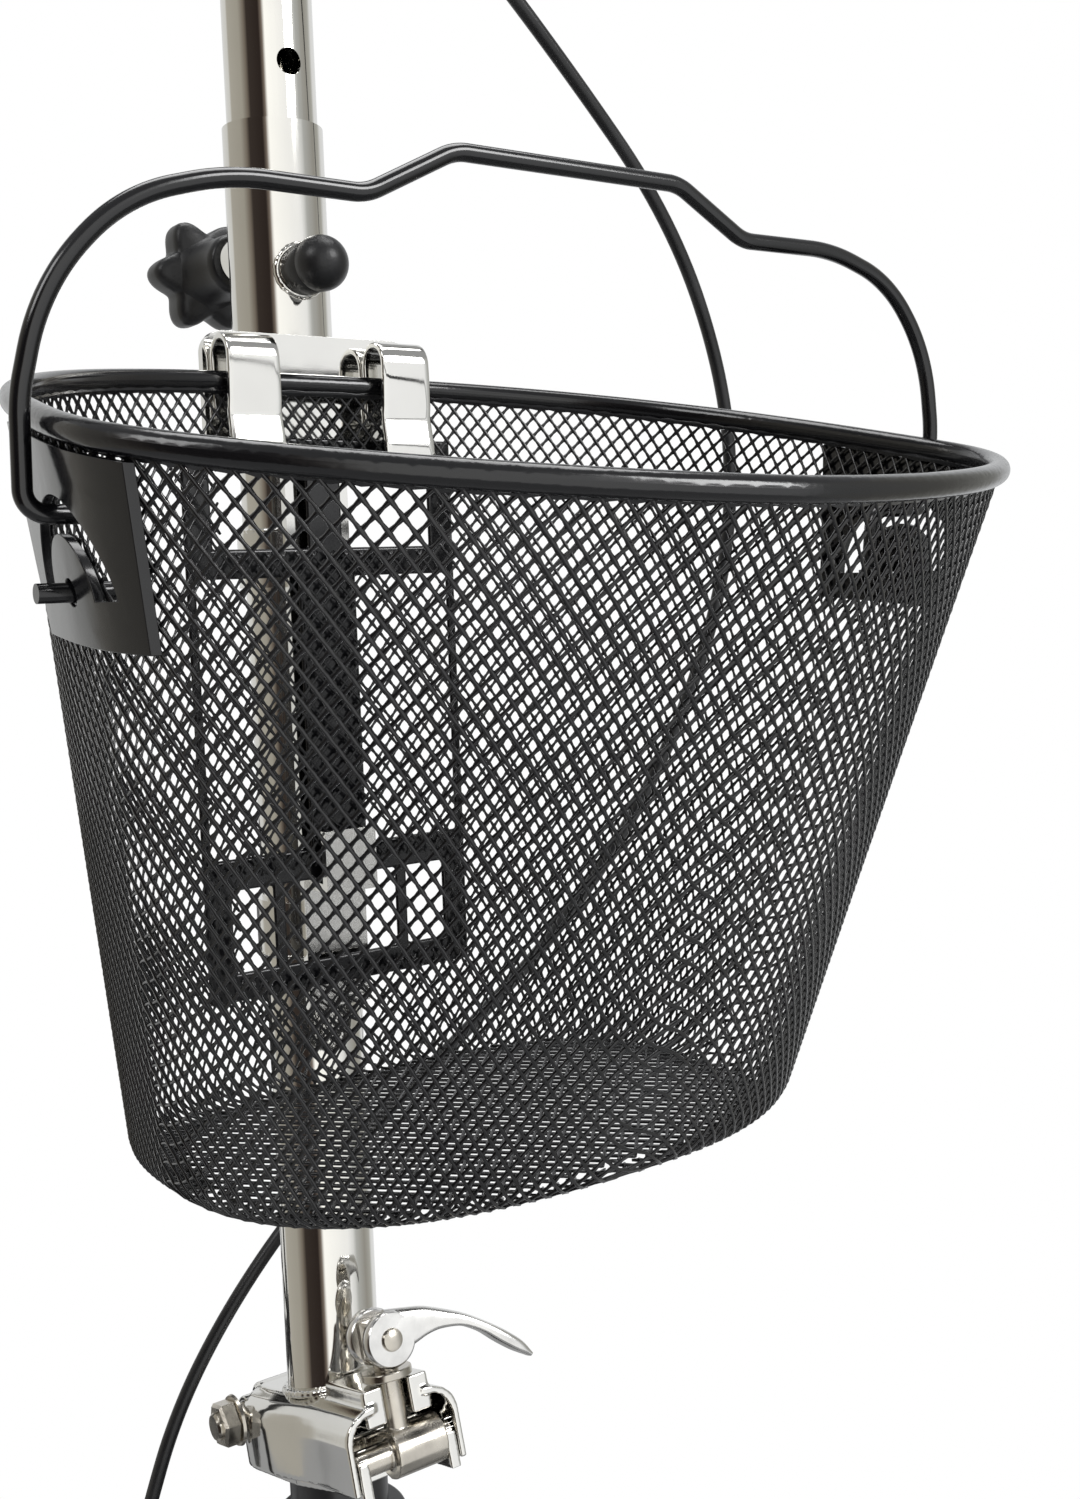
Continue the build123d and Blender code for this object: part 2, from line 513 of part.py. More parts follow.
def arch_slot(side):
    """The space that the bail's leg needs through the wall, as it swings."""
    pivot_x, pivot_z = BAIL_PIVOT
    y0, y1 = sorted((side * 100.0, side * 140.0))
    arch = ring((pivot_x, y0, pivot_z), (pivot_x, y1, pivot_z), 20, 12)
    arch -= block(pivot_x - 30, pivot_x + 30, y0 - 1, y1 + 1, pivot_z - 30, pivot_z - 2)
    return arch + rod((pivot_x, y0, pivot_z), (pivot_x, y1, pivot_z), 3.0)


def make_bail():
    pivot_x, pivot_z = BAIL_PIVOT
    outside = loft(basket_outline(-2.4, 0), ruled=True).solid()
    outside -= loft(basket_outline(-0.3, 0), ruled=True).solid()
    plates = []
    for side in (-1, 1):
        y0, y1 = sorted((side * 90.0, side * 140.0))
        ear = prism([(92, 5), (160, 5), (157.5, -33.5), (147, -71), (97, -67)], y0, y1)
        plates.append(one(outside & ear - arch_slot(side)))
    add("bail_ears", BASKET, *plates)
    half = [(0, 0, 97), (0, 33, 97), (0, 55.5, 85.5), (0, 87, 85.5), (0, 109, 79), (0, 126, 62),
            (0, 133, 42), (0, 133, 16), (0, 111, 16), (0, 111, 0), (0, 131, 0)]
    wire = bent_rod(half, 2.1, [12, 12, 45, 35, 40, 35, 5, 5, 5])
    add("basket_bail", BAIL, one(wire + mirrored(wire)))


def make_bracket():
    column = rod((-BASKET_X, 0, -300), (-BASKET_X, 0, 60), COLUMN_RADIUS)
    back, front = -9.4, -6.4
    body = block(back, front, -36, 36, -16, 19)
    body = body.fillet(7, body.edges().filter_by(Axis.X).group_by(Axis.Z)[-1])
    body += block(back, front, -11, 11, -196, -10)
    body += block(back, 6, -9, 9, -156, -153)
    body += block(3, 6, -9, 9, -156, -136)
    for z in (-50, -170):
        body += ring((-BASKET_X, 0, z - 9), (-BASKET_X, 0, z + 9), COLUMN_RADIUS + 2, COLUMN_RADIUS)
    add("basket_bracket", BASKET, one(body - column))


# ---------------------------------------------------------------- knee rest
def make_knee_rest():
    x = KNEE_POST_X
    tray_top = PAD_TOP - PAD_THICKNESS - GAP
    tray_under = tray_top - 3
    post = ring((x, 0, 196), (x, 0, tray_under), KNEE_POST_RADIUS, KNEE_POST_RADIUS - 2)
    add("knee_post", WORLD, post)
    half_length, half_width = PAD_LENGTH / 2 - 20, PAD_WIDTH / 2 - 18
    tray = block(x - half_length, x + half_length, -half_width, half_width, tray_under, tray_top)
    tray = tray.fillet(18, tray.edges().filter_by(Axis.Z))
    collar = ring((x, 0, tray_under - 28), (x, 0, tray_under), KNEE_POST_RADIUS + 3, KNEE_POST_RADIUS)
    tray += collar
    for side in (-1, 1):
        tray += prism([(x + side * 18, tray_under), (x + side * 18, tray_under - 22),
                       (x + side * 90, tray_under)], -2, 2)
    corners = [(x + i * 95, j * 45) for i in (-1, 1) for j in (-1, 1)]
    screws = []
    for sx, sy in corners:
        tray -= rod((sx, sy, tray_under - 1), (sx, sy, tray_top + 1), 3)
        screw = rod((sx, sy, tray_under), (sx, sy, tray_top), 3)
        screws.append(one(screw + rod((sx, sy, tray_under - 4), (sx, sy, tray_under), 6)))
    add("pad_tray", WORLD, one(tray), *screws)
    pad = block(x - PAD_LENGTH / 2, x + PAD_LENGTH / 2, -PAD_WIDTH / 2, PAD_WIDTH / 2,
                PAD_TOP - PAD_THICKNESS, PAD_TOP)
    pad = pad.fillet(45, pad.edges().filter_by(Axis.Z))
    pad = pad.fillet(16, pad.edges().group_by(Axis.Z)[-1])
    add("knee_pad", WORLD, pad)

    ring_low, ring_high = SOCKET_TOP - 28, SOCKET_TOP - 6
    clamp = ring((x, 0, ring_low), (x, 0, ring_high), SOCKET_RADIUS + 4, SOCKET_RADIUS)
    clamp += block(x - 40, x - SOCKET_RADIUS, -10, 10, ring_low, ring_high)
    clamp -= block(x - 45, x - SOCKET_RADIUS + 2, -2, 2, ring_low - 1, ring_high + 1)
    middle = (ring_low + ring_high) / 2
    bolt_x = x - 33
    clamp -= rod((bolt_x, -20, middle), (bolt_x, 20, middle), 3)
    clamp -= rod((x, 0, ring_low - 1), (x, 0, ring_high + 1), SOCKET_RADIUS)
    bolt = rod((bolt_x, -16, middle), (bolt_x, 10, middle), 3)
    bolt += hexagon((bolt_x, -16, middle), (bolt_x, -10, middle), 6)
    add("post_clamp", WORLD, one(clamp), one(bolt))
    cam_y = 17.0
    outline = [(bolt_x - 3, cam_y + 4), (bolt_x + 4, cam_y - 4), (bolt_x + 16, cam_y + 10),
               (bolt_x + 62, cam_y + 13), (bolt_x + 64, cam_y + 18), (bolt_x + 12, cam_y + 16)]
    lever = plate(outline, middle - 6, middle + 6)
    lever += rod((bolt_x, cam_y, middle - 6), (bolt_x, cam_y, middle + 6), 6.7)
    add("post_clamp_lever", WORLD, one(lever))
    return bolt_x, cam_y, middle


# ---------------------------------------------------------------- rear brake
BRAKE_PIVOT = (-175.0, 152.0)
ADJUSTER_X, ADJUSTER_Z = -133.0, 192.0


def make_brake():
    px, pz = BRAKE_PIVOT
    y = -WHEEL_Y
    rear_solid = rod((REAR_AXLE_X, -REAR_TUBE_HALF, WHEEL_RADIUS),
                     (REAR_AXLE_X, REAR_TUBE_HALF, WHEEL_RADIUS), REAR_TUBE_RADIUS)
    web = prism([(REAR_AXLE_X - 8, 118), (REAR_AXLE_X + 8, 84), (px + 4, pz - 14),
                 (ADJUSTER_X + 4, ADJUSTER_Z - 12), (ADJUSTER_X + 4, ADJUSTER_Z + 12),
                 (ADJUSTER_X - 14, ADJUSTER_Z + 12), (px - 8, pz + 14)], -148, -143)
    web += block(ADJUSTER_X, ADJUSTER_X + 4, y - 10, -143, ADJUSTER_Z - 12, ADJUSTER_Z + 12)
    web -= rear_solid
    web -= rod((px, -160, pz), (px, -130, pz), 4)
    web -= rod((ADJUSTER_X - 5, y, ADJUSTER_Z), (ADJUSTER_X + 9, y, ADJUSTER_Z), 4)
    bolt = rod((px, -139, pz), (px, -198, pz), 4) + rod((px, -138, pz), (px, -143, pz), 7)
    bolt += rod((px, -148, pz), (px, -166, pz), 8) + rod((px, -194.5, pz), (px, -199, pz), 7)
    arm = rod((px, -166.4, pz), (px, -194, pz), 9)
    arm += prism([(px - 6, pz), (px - 4, ADJUSTER_Z + 8), (px + 4, ADJUSTER_Z + 8), (px + 6, pz)],
                 -184, -176)
    shoe_blade = prism([(px - 7, pz), (px + 7, pz), (px + 3, 84), (px - 7, 84)], -184, -176)
    arm += shoe_blade
    arm -= rod((px, -160, pz), (px, -200, pz), 4.06)
    arm -= rod((px - 20, y, ADJUSTER_Z), (px + 20, y, ADJUSTER_Z), 1.2)
    add("brake_arm", WORLD, one(arm))
    shoe = block(px - 24, px - 4, -192, -168, 86, 120)
    shoe -= rod((REAR_AXLE_X, -200, WHEEL_RADIUS), (REAR_AXLE_X, -160, WHEEL_RADIUS), WHEEL_RADIUS + 3)
    add("brake_shoe", WORLD, one(shoe - shoe_blade))
    adjuster = ring((ADJUSTER_X + 14, y, ADJUSTER_Z), (ADJUSTER_X - 8, y, ADJUSTER_Z), 4, 1.2)
    adjuster += ring((ADJUSTER_X + 4, y, ADJUSTER_Z), (ADJUSTER_X + 9, y, ADJUSTER_Z), 6, 1.2)
    add("brake_bracket", WORLD, one(web), one(bolt), one(adjuster - web))
    wire = rod((ADJUSTER_X - 8, y, ADJUSTER_Z), (px - 8, y, ADJUSTER_Z), 0.8)
    wire += rod((px - 6, y, ADJUSTER_Z), (px - 12, y, ADJUSTER_Z), 2.6)
    return one(wire)


# ---------------------------------------------------------------- brake cable
CABLE_ROUTE = [
    (172.3, -43.8, 897.7), (172.3, -12, 897.7), (176, 10, 884), (177, 40, 845), (175, 92, 801),
    (173, 145, 753), (174, 171, 698), (174, 178, 646), (168, 170, 592), (159, 146, 534),
    (148, 114, 487), (141, 80, 455), (137, 42, 426), (136, 6, 398), (135, -22, 366),
    (133, -42, 332), (131, -54, 294), (125, -60, 261), (110, -55, 235), (78, -40, 222),
    (35, -30.3, 221), (-10, -30.3, 217), (-47, -44, 212), (-68, -80, 206), (-78, -121, 201),
    (-84, -150, 196), (-94, -180, 192), (-118.9, -180, 192)]
# The cable is in four lengths, each ending in the middle of the run after this point.
CABLE_CUTS = {"upper": (0, 10), "middle": (11, 15), "lower": (16, 18), "frame": (19, len(CABLE_ROUTE) - 1)}
CLIP_RUN = (20, 21)


def middle_of(first, second):
    return tuple((Vector(first) + Vector(second)) / 2)


def make_cable(inner_wire):
    for word, (first, last) in CABLE_CUTS.items():
        points = list(CABLE_ROUTE[first:last + 1])
        if first > 0:
            points.insert(0, middle_of(CABLE_ROUTE[first - 1], CABLE_ROUTE[first]))
        if last < len(CABLE_ROUTE) - 1:
            points.append(middle_of(CABLE_ROUTE[last], CABLE_ROUTE[last + 1]))
        tube = bent_rod(points, CABLE_RADIUS)
        print("cable", word, "bends", [round(r) for r in bend_radii(points)], "volume", round(tube.volume))
        add("brake_cable_" + word, WORLD, *([tube, inner_wire] if word == "frame" else [tube]))
    start, end = (Vector(CABLE_ROUTE[i]) for i in CLIP_RUN)
    clips = []
    for share in (0.35, 0.65):
        middle, half = start + (end - start) * share, (end - start).normalized() * 4
        clips.append(ring(middle - half, middle + half, 4.9, CABLE_RADIUS + GAP))
    add("cable_clips", WORLD, *clips)


make_wheels()
make_frame()
make_steering()
for WORD, SIDE in (("left", 1), ("right", -1)):
    make_knuckle(WORD, SIDE)
    make_tie_rod(WORD, SIDE)
make_column()
make_latch()
make_brake_lever(make_handlebar())
make_basket()
make_bail()
make_bracket()
CLAMP_BOLT = make_knee_rest()
make_cable(make_brake())
for NAME, SOLIDS in NODES.items():
    export_step(SOLIDS[0] if len(SOLIDS) == 1 else Compound(SOLIDS), "parts/" + NAME + ".step")

# Centres of the joints
PIVOTS = {
    "steer": STEER,
    "fold": CLAMP * Location((FOLD_BOLT[0], 0, FOLD_BOLT[1])),
    "latch": CLAMP * Location((LATCH_PIN[0], 0, LATCH_PIN[1])),
    "cam": CLAMP * Location((LATCH_PIN[0], 0, CAM_Z)),
    "bail": BAIL,
    "knob": STEER * Location((0, 0, KNOB_Z)),
    "brake_lever": STEER * Location(LEVER_PIVOT),
    "kingpin_left": STEER * Location((KINGPIN_X, KINGPIN_Y, 0)),
    "kingpin_right": STEER * Location((KINGPIN_X, -KINGPIN_Y, 0)),
    "tie_rod": STEER * Location((-STEER_ARM, 0, LINK_Z)),
    "front_wheels": STEER * Location((KINGPIN_X, 0, WHEEL_Z)),
    "rear_wheels": Location((REAR_AXLE_X, 0, WHEEL_RADIUS)),
    "clamp_lever": Location(CLAMP_BOLT),
    "brake_arm": Location((BRAKE_PIVOT[0], -WHEEL_Y, BRAKE_PIVOT[1])),
}
for NAME, PLACE in PIVOTS.items():
    print(NAME, [round(value, 2) for value in tuple(PLACE.position)])
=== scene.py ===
import json
import math

import bmesh
import bpy
import numpy as np
from mathutils import Matrix, Vector
from mathutils.bvhtree import BVHTree

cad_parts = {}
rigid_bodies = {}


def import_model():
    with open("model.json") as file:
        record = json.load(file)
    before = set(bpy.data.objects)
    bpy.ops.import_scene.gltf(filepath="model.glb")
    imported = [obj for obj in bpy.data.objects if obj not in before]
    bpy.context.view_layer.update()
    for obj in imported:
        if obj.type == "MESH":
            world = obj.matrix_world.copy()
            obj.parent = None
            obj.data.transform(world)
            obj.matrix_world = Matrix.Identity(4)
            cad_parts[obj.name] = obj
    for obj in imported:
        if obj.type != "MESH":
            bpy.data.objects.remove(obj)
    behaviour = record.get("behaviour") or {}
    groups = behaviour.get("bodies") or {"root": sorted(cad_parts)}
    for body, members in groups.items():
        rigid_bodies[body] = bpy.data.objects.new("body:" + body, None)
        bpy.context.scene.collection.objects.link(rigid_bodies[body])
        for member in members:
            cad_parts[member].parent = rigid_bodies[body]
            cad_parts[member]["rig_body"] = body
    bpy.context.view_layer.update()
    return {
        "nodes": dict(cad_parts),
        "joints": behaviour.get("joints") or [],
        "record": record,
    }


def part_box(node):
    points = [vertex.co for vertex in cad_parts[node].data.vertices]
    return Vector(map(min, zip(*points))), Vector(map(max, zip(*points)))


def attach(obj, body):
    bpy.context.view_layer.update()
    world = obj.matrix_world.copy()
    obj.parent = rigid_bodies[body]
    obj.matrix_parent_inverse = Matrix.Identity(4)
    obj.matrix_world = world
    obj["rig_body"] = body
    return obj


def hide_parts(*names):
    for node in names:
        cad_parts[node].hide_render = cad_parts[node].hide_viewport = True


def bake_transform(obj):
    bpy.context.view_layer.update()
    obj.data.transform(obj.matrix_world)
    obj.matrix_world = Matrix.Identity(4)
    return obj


# Knee scooter. Metres, +X forward, +Y the rider's left, +Z up, floor at z = 0.
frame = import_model()
JOINTS = {joint["name"]: joint for joint in frame["joints"]}
SLOT_OF = {part["node"]: part["material_slot"] for part in frame["record"]["subparts"]}
BODY_OF = {name: node["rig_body"] for name, node in frame["nodes"].items()}
MM = 0.001


# ---------------------------------------------------------------- frames
def place(x, y, z, turn_y=0.0):
    return Matrix.Translation((x, y, z)) @ Matrix.Rotation(turn_y, 4, "Y")


def joint_place(name):
    return Vector(JOINTS[name]["pos_m"])


STEER_AXIS = Vector(JOINTS["steer"]["axis"])
RAKE = math.atan2(-STEER_AXIS.x, STEER_AXIS.z)
STEER = Matrix.Translation(joint_place("steer")) @ Matrix.Rotation(-RAKE, 4, "Y")
CLAMP = STEER @ place(0, 0, 0.008, math.radians(-17))
BASKET = STEER @ place(0.025, 0, 0.3542)
BAIL_PIVOT = BASKET.inverted() @ joint_place("bail_swing")
KNOB_Z = (STEER.inverted() @ joint_place("knob_turn")).z
PLUNGER_Z = 0.3935
COLUMN_RADIUS = 0.0159


# ---------------------------------------------------------------- materials
def set_inputs(node, **values):
    """Sets a shader node's inputs. An underscore stands for each blank in their names."""
    for name, value in values.items():
        node.inputs[name.replace("_", " ")].default_value = value


def shader(name, color, roughness, metallic=0.0):
    """A material with a Principled shader, and its node tree."""
    material = bpy.data.materials.new(name)
    material.use_nodes = True
    tree = material.node_tree
    main = tree.nodes["Principled BSDF"]
    set_inputs(main, Base_Color=(*color, 1), Roughness=roughness, Metallic=metallic)
    return material, tree, main


def add_noise(tree, scale, detail=3.0, stretch=(1, 1, 1)):
    """Noise in the object's own space, drawn out along one axis by stretch."""
    coordinates = tree.nodes.new("ShaderNodeTexCoord")
    mapping = tree.nodes.new("ShaderNodeMapping")
    set_inputs(mapping, Scale=stretch)
    noise = tree.nodes.new("ShaderNodeTexNoise")
    set_inputs(noise, Scale=scale, Detail=detail)
    tree.links.new(coordinates.outputs["Object"], mapping.inputs["Vector"])
    tree.links.new(mapping.outputs["Vector"], noise.inputs["Vector"])
    return noise.outputs["Fac"]


def add_ramp(tree, source, stops):
    """A colour ramp of (position, colour) stops."""
    ramp = tree.nodes.new("ShaderNodeValToRGB")
    elements = ramp.color_ramp.elements
    while len(elements) < len(stops):
        elements.new(0.5)
    for element, (position, color) in zip(elements, stops):
        element.position = position
        element.color = (*color, 1)
    tree.links.new(source, ramp.inputs["Fac"])
    return ramp.outputs["Color"]


def add_range(tree, source, low, high, from_low=0.3, from_high=0.7):
    spread = tree.nodes.new("ShaderNodeMapRange")
    set_inputs(spread, From_Min=from_low, From_Max=from_high, To_Min=low, To_Max=high)
    tree.links.new(source, spread.inputs["Value"])
    return spread.outputs["Result"]


def add_bump(tree, main, source, strength, distance, before=None):
    bump = tree.nodes.new("ShaderNodeBump")
    set_inputs(bump, Strength=strength, Distance=distance)
    tree.links.new(source, bump.inputs["Height"])
    if before:
        tree.links.new(before, bump.inputs["Normal"])
    tree.links.new(bump.outputs["Normal"], main.inputs["Normal"])
    return bump.outputs["Normal"]


def chrome(name, tint, wear):
    """Plated steel: mirror bright, with faint polishing lines and small dull patches."""
    material, tree, main = shader(name, tint, 0.06, 1.0)
    patches = add_noise(tree, 28, 4)
    tree.links.new(add_range(tree, patches, 0.035, 0.035 + wear), main.inputs["Roughness"])
    shade = add_ramp(tree, patches, [(0.35, tint), (0.75, tuple(0.93 * v for v in tint))])
    tree.links.new(shade, main.inputs["Base Color"])
    lines = add_noise(tree, 260, 2, (1, 1, 0.06))
    add_bump(tree, main, lines, 0.05, 0.0004)
    return material


def steel(name, tint, roughness):
    """Zinc plate or brushed steel: fine grain and a mottled tint."""
    material, tree, main = shader(name, tint, roughness, 1.0)
    mottle = add_noise(tree, 90, 5)
    dark = tuple(0.72 * v for v in tint)
    tree.links.new(add_ramp(tree, mottle, [(0.3, dark), (0.7, tint)]), main.inputs["Base Color"])
    tree.links.new(add_range(tree, mottle, roughness * 0.7, roughness * 1.4), main.inputs["Roughness"])
    add_bump(tree, main, add_noise(tree, 900, 2, (1, 0.15, 1)), 0.12, 0.0002)
    return material


def paint(name, color, roughness, peel=0.35):
    """Powder coat: orange peel, a clear gloss, and a little dust in the roughness."""
    material, tree, main = shader(name, color, roughness)
    set_inputs(main, Coat_Weight=0.25, Coat_Roughness=0.08)
    dust = add_noise(tree, 14, 4)
    tree.links.new(add_range(tree, dust, roughness * 0.8, roughness * 1.35), main.inputs["Roughness"])
    lighter = tuple(1.4 * v + 0.002 for v in color)
    tree.links.new(add_ramp(tree, dust, [(0.35, color), (0.8, lighter)]), main.inputs["Base Color"])
    add_bump(tree, main, add_noise(tree, 620, 2), peel, 0.00012)
    return material


def plastic(name, color, roughness, grain=1400):
    """Moulded plastic or rubber: spark-eroded grain and slightly rubbed high spots."""
    material, tree, main = shader(name, color, roughness)
    set_inputs(main, Specular_IOR_Level=0.42)
    rubbed = add_noise(tree, 38, 4)
    sheen = add_range(tree, rubbed, roughness * 0.8, min(1, roughness * 1.2))
    tree.links.new(sheen, main.inputs["Roughness"])
    lighter = tuple(1.4 * v + 0.006 for v in color)
    tree.links.new(add_ramp(tree, rubbed, [(0.4, color), (0.75, lighter)]), main.inputs["Base Color"])
    add_bump(tree, main, add_noise(tree, grain, 3), 0.35, 0.00015)
    return material


def vinyl(name, color):
    """Upholstery vinyl: pebbled leather grain with fine creases between the pebbles."""
    material, tree, main = shader(name, color, 0.42)
    set_inputs(main, Sheen_Weight=0.12)
    coordinates = tree.nodes.new("ShaderNodeTexCoord")
    cells = tree.nodes.new("ShaderNodeTexVoronoi")
    cells.feature = "DISTANCE_TO_EDGE"
    set_inputs(cells, Scale=520)
    tree.links.new(coordinates.outputs["Object"], cells.inputs["Vector"])
    pebbles = add_range(tree, cells.outputs["Distance"], 0, 1, 0.0, 0.35)
    tree.links.new(add_range(tree, pebbles, 0.55, 0.36, 0, 1), main.inputs["Roughness"])
    fold = add_bump(tree, main, add_noise(tree, 60, 4), 0.25, 0.0012)
    add_bump(tree, main, pebbles, 0.55, 0.0004, fold)
    return material


def tyre_rubber(name):
    """Solid polyurethane tyre: dark grey, dusty where it rolls."""
    material, tree, main = shader(name, (0.045, 0.045, 0.046), 0.62)
    attribute = tree.nodes.new("ShaderNodeAttribute")
    attribute.attribute_name = "tread"
    dust = tree.nodes.new("ShaderNodeMath")
    dust.operation = "MULTIPLY"
    tree.links.new(attribute.outputs["Fac"], dust.inputs[0])
    tree.links.new(add_range(tree, add_noise(tree, 45, 5), 0.1, 0.9), dust.inputs[1])
    dusty = [(0.0, (0.035, 0.035, 0.036)), (1.0, (0.13, 0.125, 0.115))]
    shade = add_ramp(tree, dust.outputs["Value"], dusty)
    tree.links.new(shade, main.inputs["Base Color"])
    tree.links.new(add_range(tree, dust.outputs["Value"], 0.5, 0.85, 0, 1), main.inputs["Roughness"])
    add_bump(tree, main, add_noise(tree, 700, 3), 0.3, 0.0003)
    return material


MATERIALS = {
    "chrome_tube": chrome("chrome tube", (0.80, 0.785, 0.745), 0.05),
    "chrome_bracket": chrome("chrome pressing", (0.80, 0.79, 0.76), 0.10),
    "post_chrome": chrome("chrome knee post", (0.80, 0.79, 0.77), 0.06),
    "zinc": steel("zinc plate", (0.66, 0.62, 0.55), 0.24),
    "steel_parts": steel("plain steel", (0.58, 0.58, 0.57), 0.34),
    "lever_alloy": steel("polished cast alloy", (0.90, 0.89, 0.87), 0.22),
    "basket_black": paint("basket coat", (0.004, 0.004, 0.005), 0.17, 0.12),
    "frame_black": paint("frame powder coat", (0.014, 0.014, 0.016), 0.28),
    "bar_black": paint("bar satin black", (0.020, 0.020, 0.021), 0.42),
    "control_black": paint("control black", (0.018, 0.018, 0.019), 0.34),
    "knob_black": plastic("black nylon", (0.010, 0.010, 0.011), 0.36),
    "hub_plastic": plastic("hub nylon", (0.024, 0.024, 0.026), 0.50),
    "grip_rubber": plastic("grip rubber", (0.020, 0.020, 0.020), 0.74, 1900),
    "shoe_rubber": plastic("brake rubber", (0.030, 0.028, 0.027), 0.80, 900),
    "cable_black": plastic("cable housing", (0.012, 0.012, 0.013), 0.30, 2500),
    "pad_cover": vinyl("pad vinyl", (0.016, 0.016, 0.018)),
    "tyre": tyre_rubber("tyre rubber"),
}


# ---------------------------------------------------------------- pieces
def add_object(name, data):
    item = bpy.data.objects.new(name, data)
    bpy.context.scene.collection.objects.link(item)
    return item


def show(name, mesh, node, replaces=(), body=None):
    """Makes a mesh a piece with the finish of a CAD node. It rides that node's body or the one named here,
    and with False it rides none yet."""
    piece = add_object(name, mesh)
    mesh.materials.clear()
    mesh.materials.append(MATERIALS[SLOT_OF[node]])
    if body is not False:
        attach(piece, body or BODY_OF[node])
    if replaces:
        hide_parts(*replaces)
    return piece


def smooth_mesh(mesh, sharp=40):
    """Smooth shading, with edges sharper than this many degrees left crisp."""
    mesh.shade_smooth()
    if sharp:
        mesh.set_sharp_from_angle(angle=math.radians(sharp))
    return mesh


def mesh_from(name, vertices, faces, matrix=None, sharp=40):
    mesh = bpy.data.meshes.new(name)
    mesh.from_pydata([tuple(v) for v in vertices], [], faces)
    if matrix is not None:
        mesh.transform(matrix)
    mesh.update()
    return smooth_mesh(mesh, sharp)


def from_bmesh(bm, name):
    """A new mesh from a bmesh, which is freed."""
    mesh = bpy.data.meshes.new(name)
    bm.to_mesh(mesh)
    bm.free()
    return mesh


def join_meshes(name, meshes):
    """One mesh out of several."""
    bm = bmesh.new()
    for mesh in meshes:
        bm.from_mesh(mesh)
        bpy.data.meshes.remove(mesh)
    return from_bmesh(bm, name)


def face_outwards(mesh, weld=0.0):
    """Turns the faces of a closed mesh outwards, after welding vertices closer than weld."""
    bm = bmesh.new()
    bm.from_mesh(mesh)
    if weld:
        bmesh.ops.remove_doubles(bm, verts=bm.verts, dist=weld)
        bmesh.ops.dissolve_degenerate(bm, dist=weld, edges=bm.edges)
    bmesh.ops.recalc_face_normals(bm, faces=bm.faces)
    bm.to_mesh(mesh)
    bm.free()
    return mesh


def sharp_edges(bm, angle):
    limit = math.radians(angle)
    return [e for e in bm.edges if len(e.link_faces) == 2 and e.calc_face_angle() > limit]


def round_edges(bm, edges, width, segments=2, clamp_overlap=True):
    bmesh.ops.bevel(bm, geom=edges, offset=width, offset_type="OFFSET", segments=segments, profile=0.5,
                    affect="EDGES", clamp_overlap=clamp_overlap)


def settle(piece):
    """Bakes a piece's modifiers into its mesh."""
    bpy.context.view_layer.update()
    evaluated = piece.evaluated_get(bpy.context.evaluated_depsgraph_get())
    baked = bpy.data.meshes.new_from_object(evaluated)
    old = piece.data
    piece.modifiers.clear()
    piece.data = baked
    bpy.data.meshes.remove(old)
    return piece


def node_copy(node):
    """A welded copy of a CAD node, with its flat faces made whole."""
    bm = bmesh.new()
    bm.from_mesh(frame["nodes"][node].data)
    bmesh.ops.remove_doubles(bm, verts=bm.verts, dist=2e-6)
    bmesh.ops.dissolve_limit(bm, angle_limit=math.radians(0.4), verts=bm.verts, edges=bm.edges)
    return bm


def eased(node, width):
    """A CAD node with its sharp edges rounded, as a machined, moulded or coated part has them."""
    bm = node_copy(node)
    round_edges(bm, sharp_edges(bm, 35), width)
    piece = show(node + "_eased", smooth_mesh(from_bmesh(bm, node), 50), node, (node,))
    weighted = piece.modifiers.new("weighted", "WEIGHTED_NORMAL")
    weighted.keep_sharp = True


def add_remesh(piece, voxel):
    remesh = piece.modifiers.new("remesh", "REMESH")
    remesh.mode = "VOXEL"
    remesh.voxel_size = voxel


def flow_edges(piece, voxel, passes):
    """Remeshes and relaxes a piece, so that every edge flows into the next face."""
    add_remesh(piece, voxel)
    relax = piece.modifiers.new("relax", "SMOOTH")
    relax.iterations = passes
    relax.factor = 0.5
    settle(piece)
    smooth_mesh(piece.data, 0)


def formed(node, voxel, passes, name):
    """A CAD node as a pressing, casting or forging."""
    flow_edges(show(name, from_bmesh(node_copy(node), node), node, (node,)), voxel, passes)


SAME_POINT = 1e-7


def lathe(profile, matrix=Matrix.Identity(4), steps=64, name="lathe", sharp=40):
    """A closed (radius, height) outline turned about Z, then placed."""
    vertices, faces = [], []
    count = len(profile)
    for step in range(steps):
        angle = 2 * math.pi * step / steps
        for radius, height in profile:
            vertices.append((radius * math.cos(angle), radius * math.sin(angle), height))
    for step in range(steps):
        after = (step + 1) % steps
        for i in range(count):
            j = (i + 1) % count
            faces.append((step * count + i, after * count + i, after * count + j, step * count + j))
    mesh = mesh_from(name, vertices, faces, matrix, sharp)
    return smooth_mesh(face_outwards(mesh, SAME_POINT), sharp)


def arc(centre_x, centre_z, radius, start, end, steps):
    """Points of a circular arc, angles in degrees."""
    angles = [math.radians(start + (end - start) * i / steps) for i in range(steps + 1)]
    return [(centre_x + radius * math.cos(a), centre_z + radius * math.sin(a)) for a in angles]


def along_axis(start, direction):
    """A frame at start whose Z axis is direction."""
    turn = Vector(direction).to_track_quat("Z", "Y").to_matrix().to_4x4()
    return Matrix.Translation(start) @ turn


# ---------------------------------------------------------------- tubes and strands
def ring_faces(rings, sides, closed=False, capped=False):
    """Quads from each ring of vertices to the next, back to the first if closed, with end caps if capped."""
    faces = []
    for k in range(rings if closed else rings - 1):
        after = (k + 1) % rings
        for i in range(sides):
            j = (i + 1) % sides
            faces.append((k * sides + i, k * sides + j, after * sides + j, after * sides + i))
    if capped:
        faces += [tuple(reversed(range(sides))), tuple(range((rings - 1) * sides, rings * sides))]
    return faces


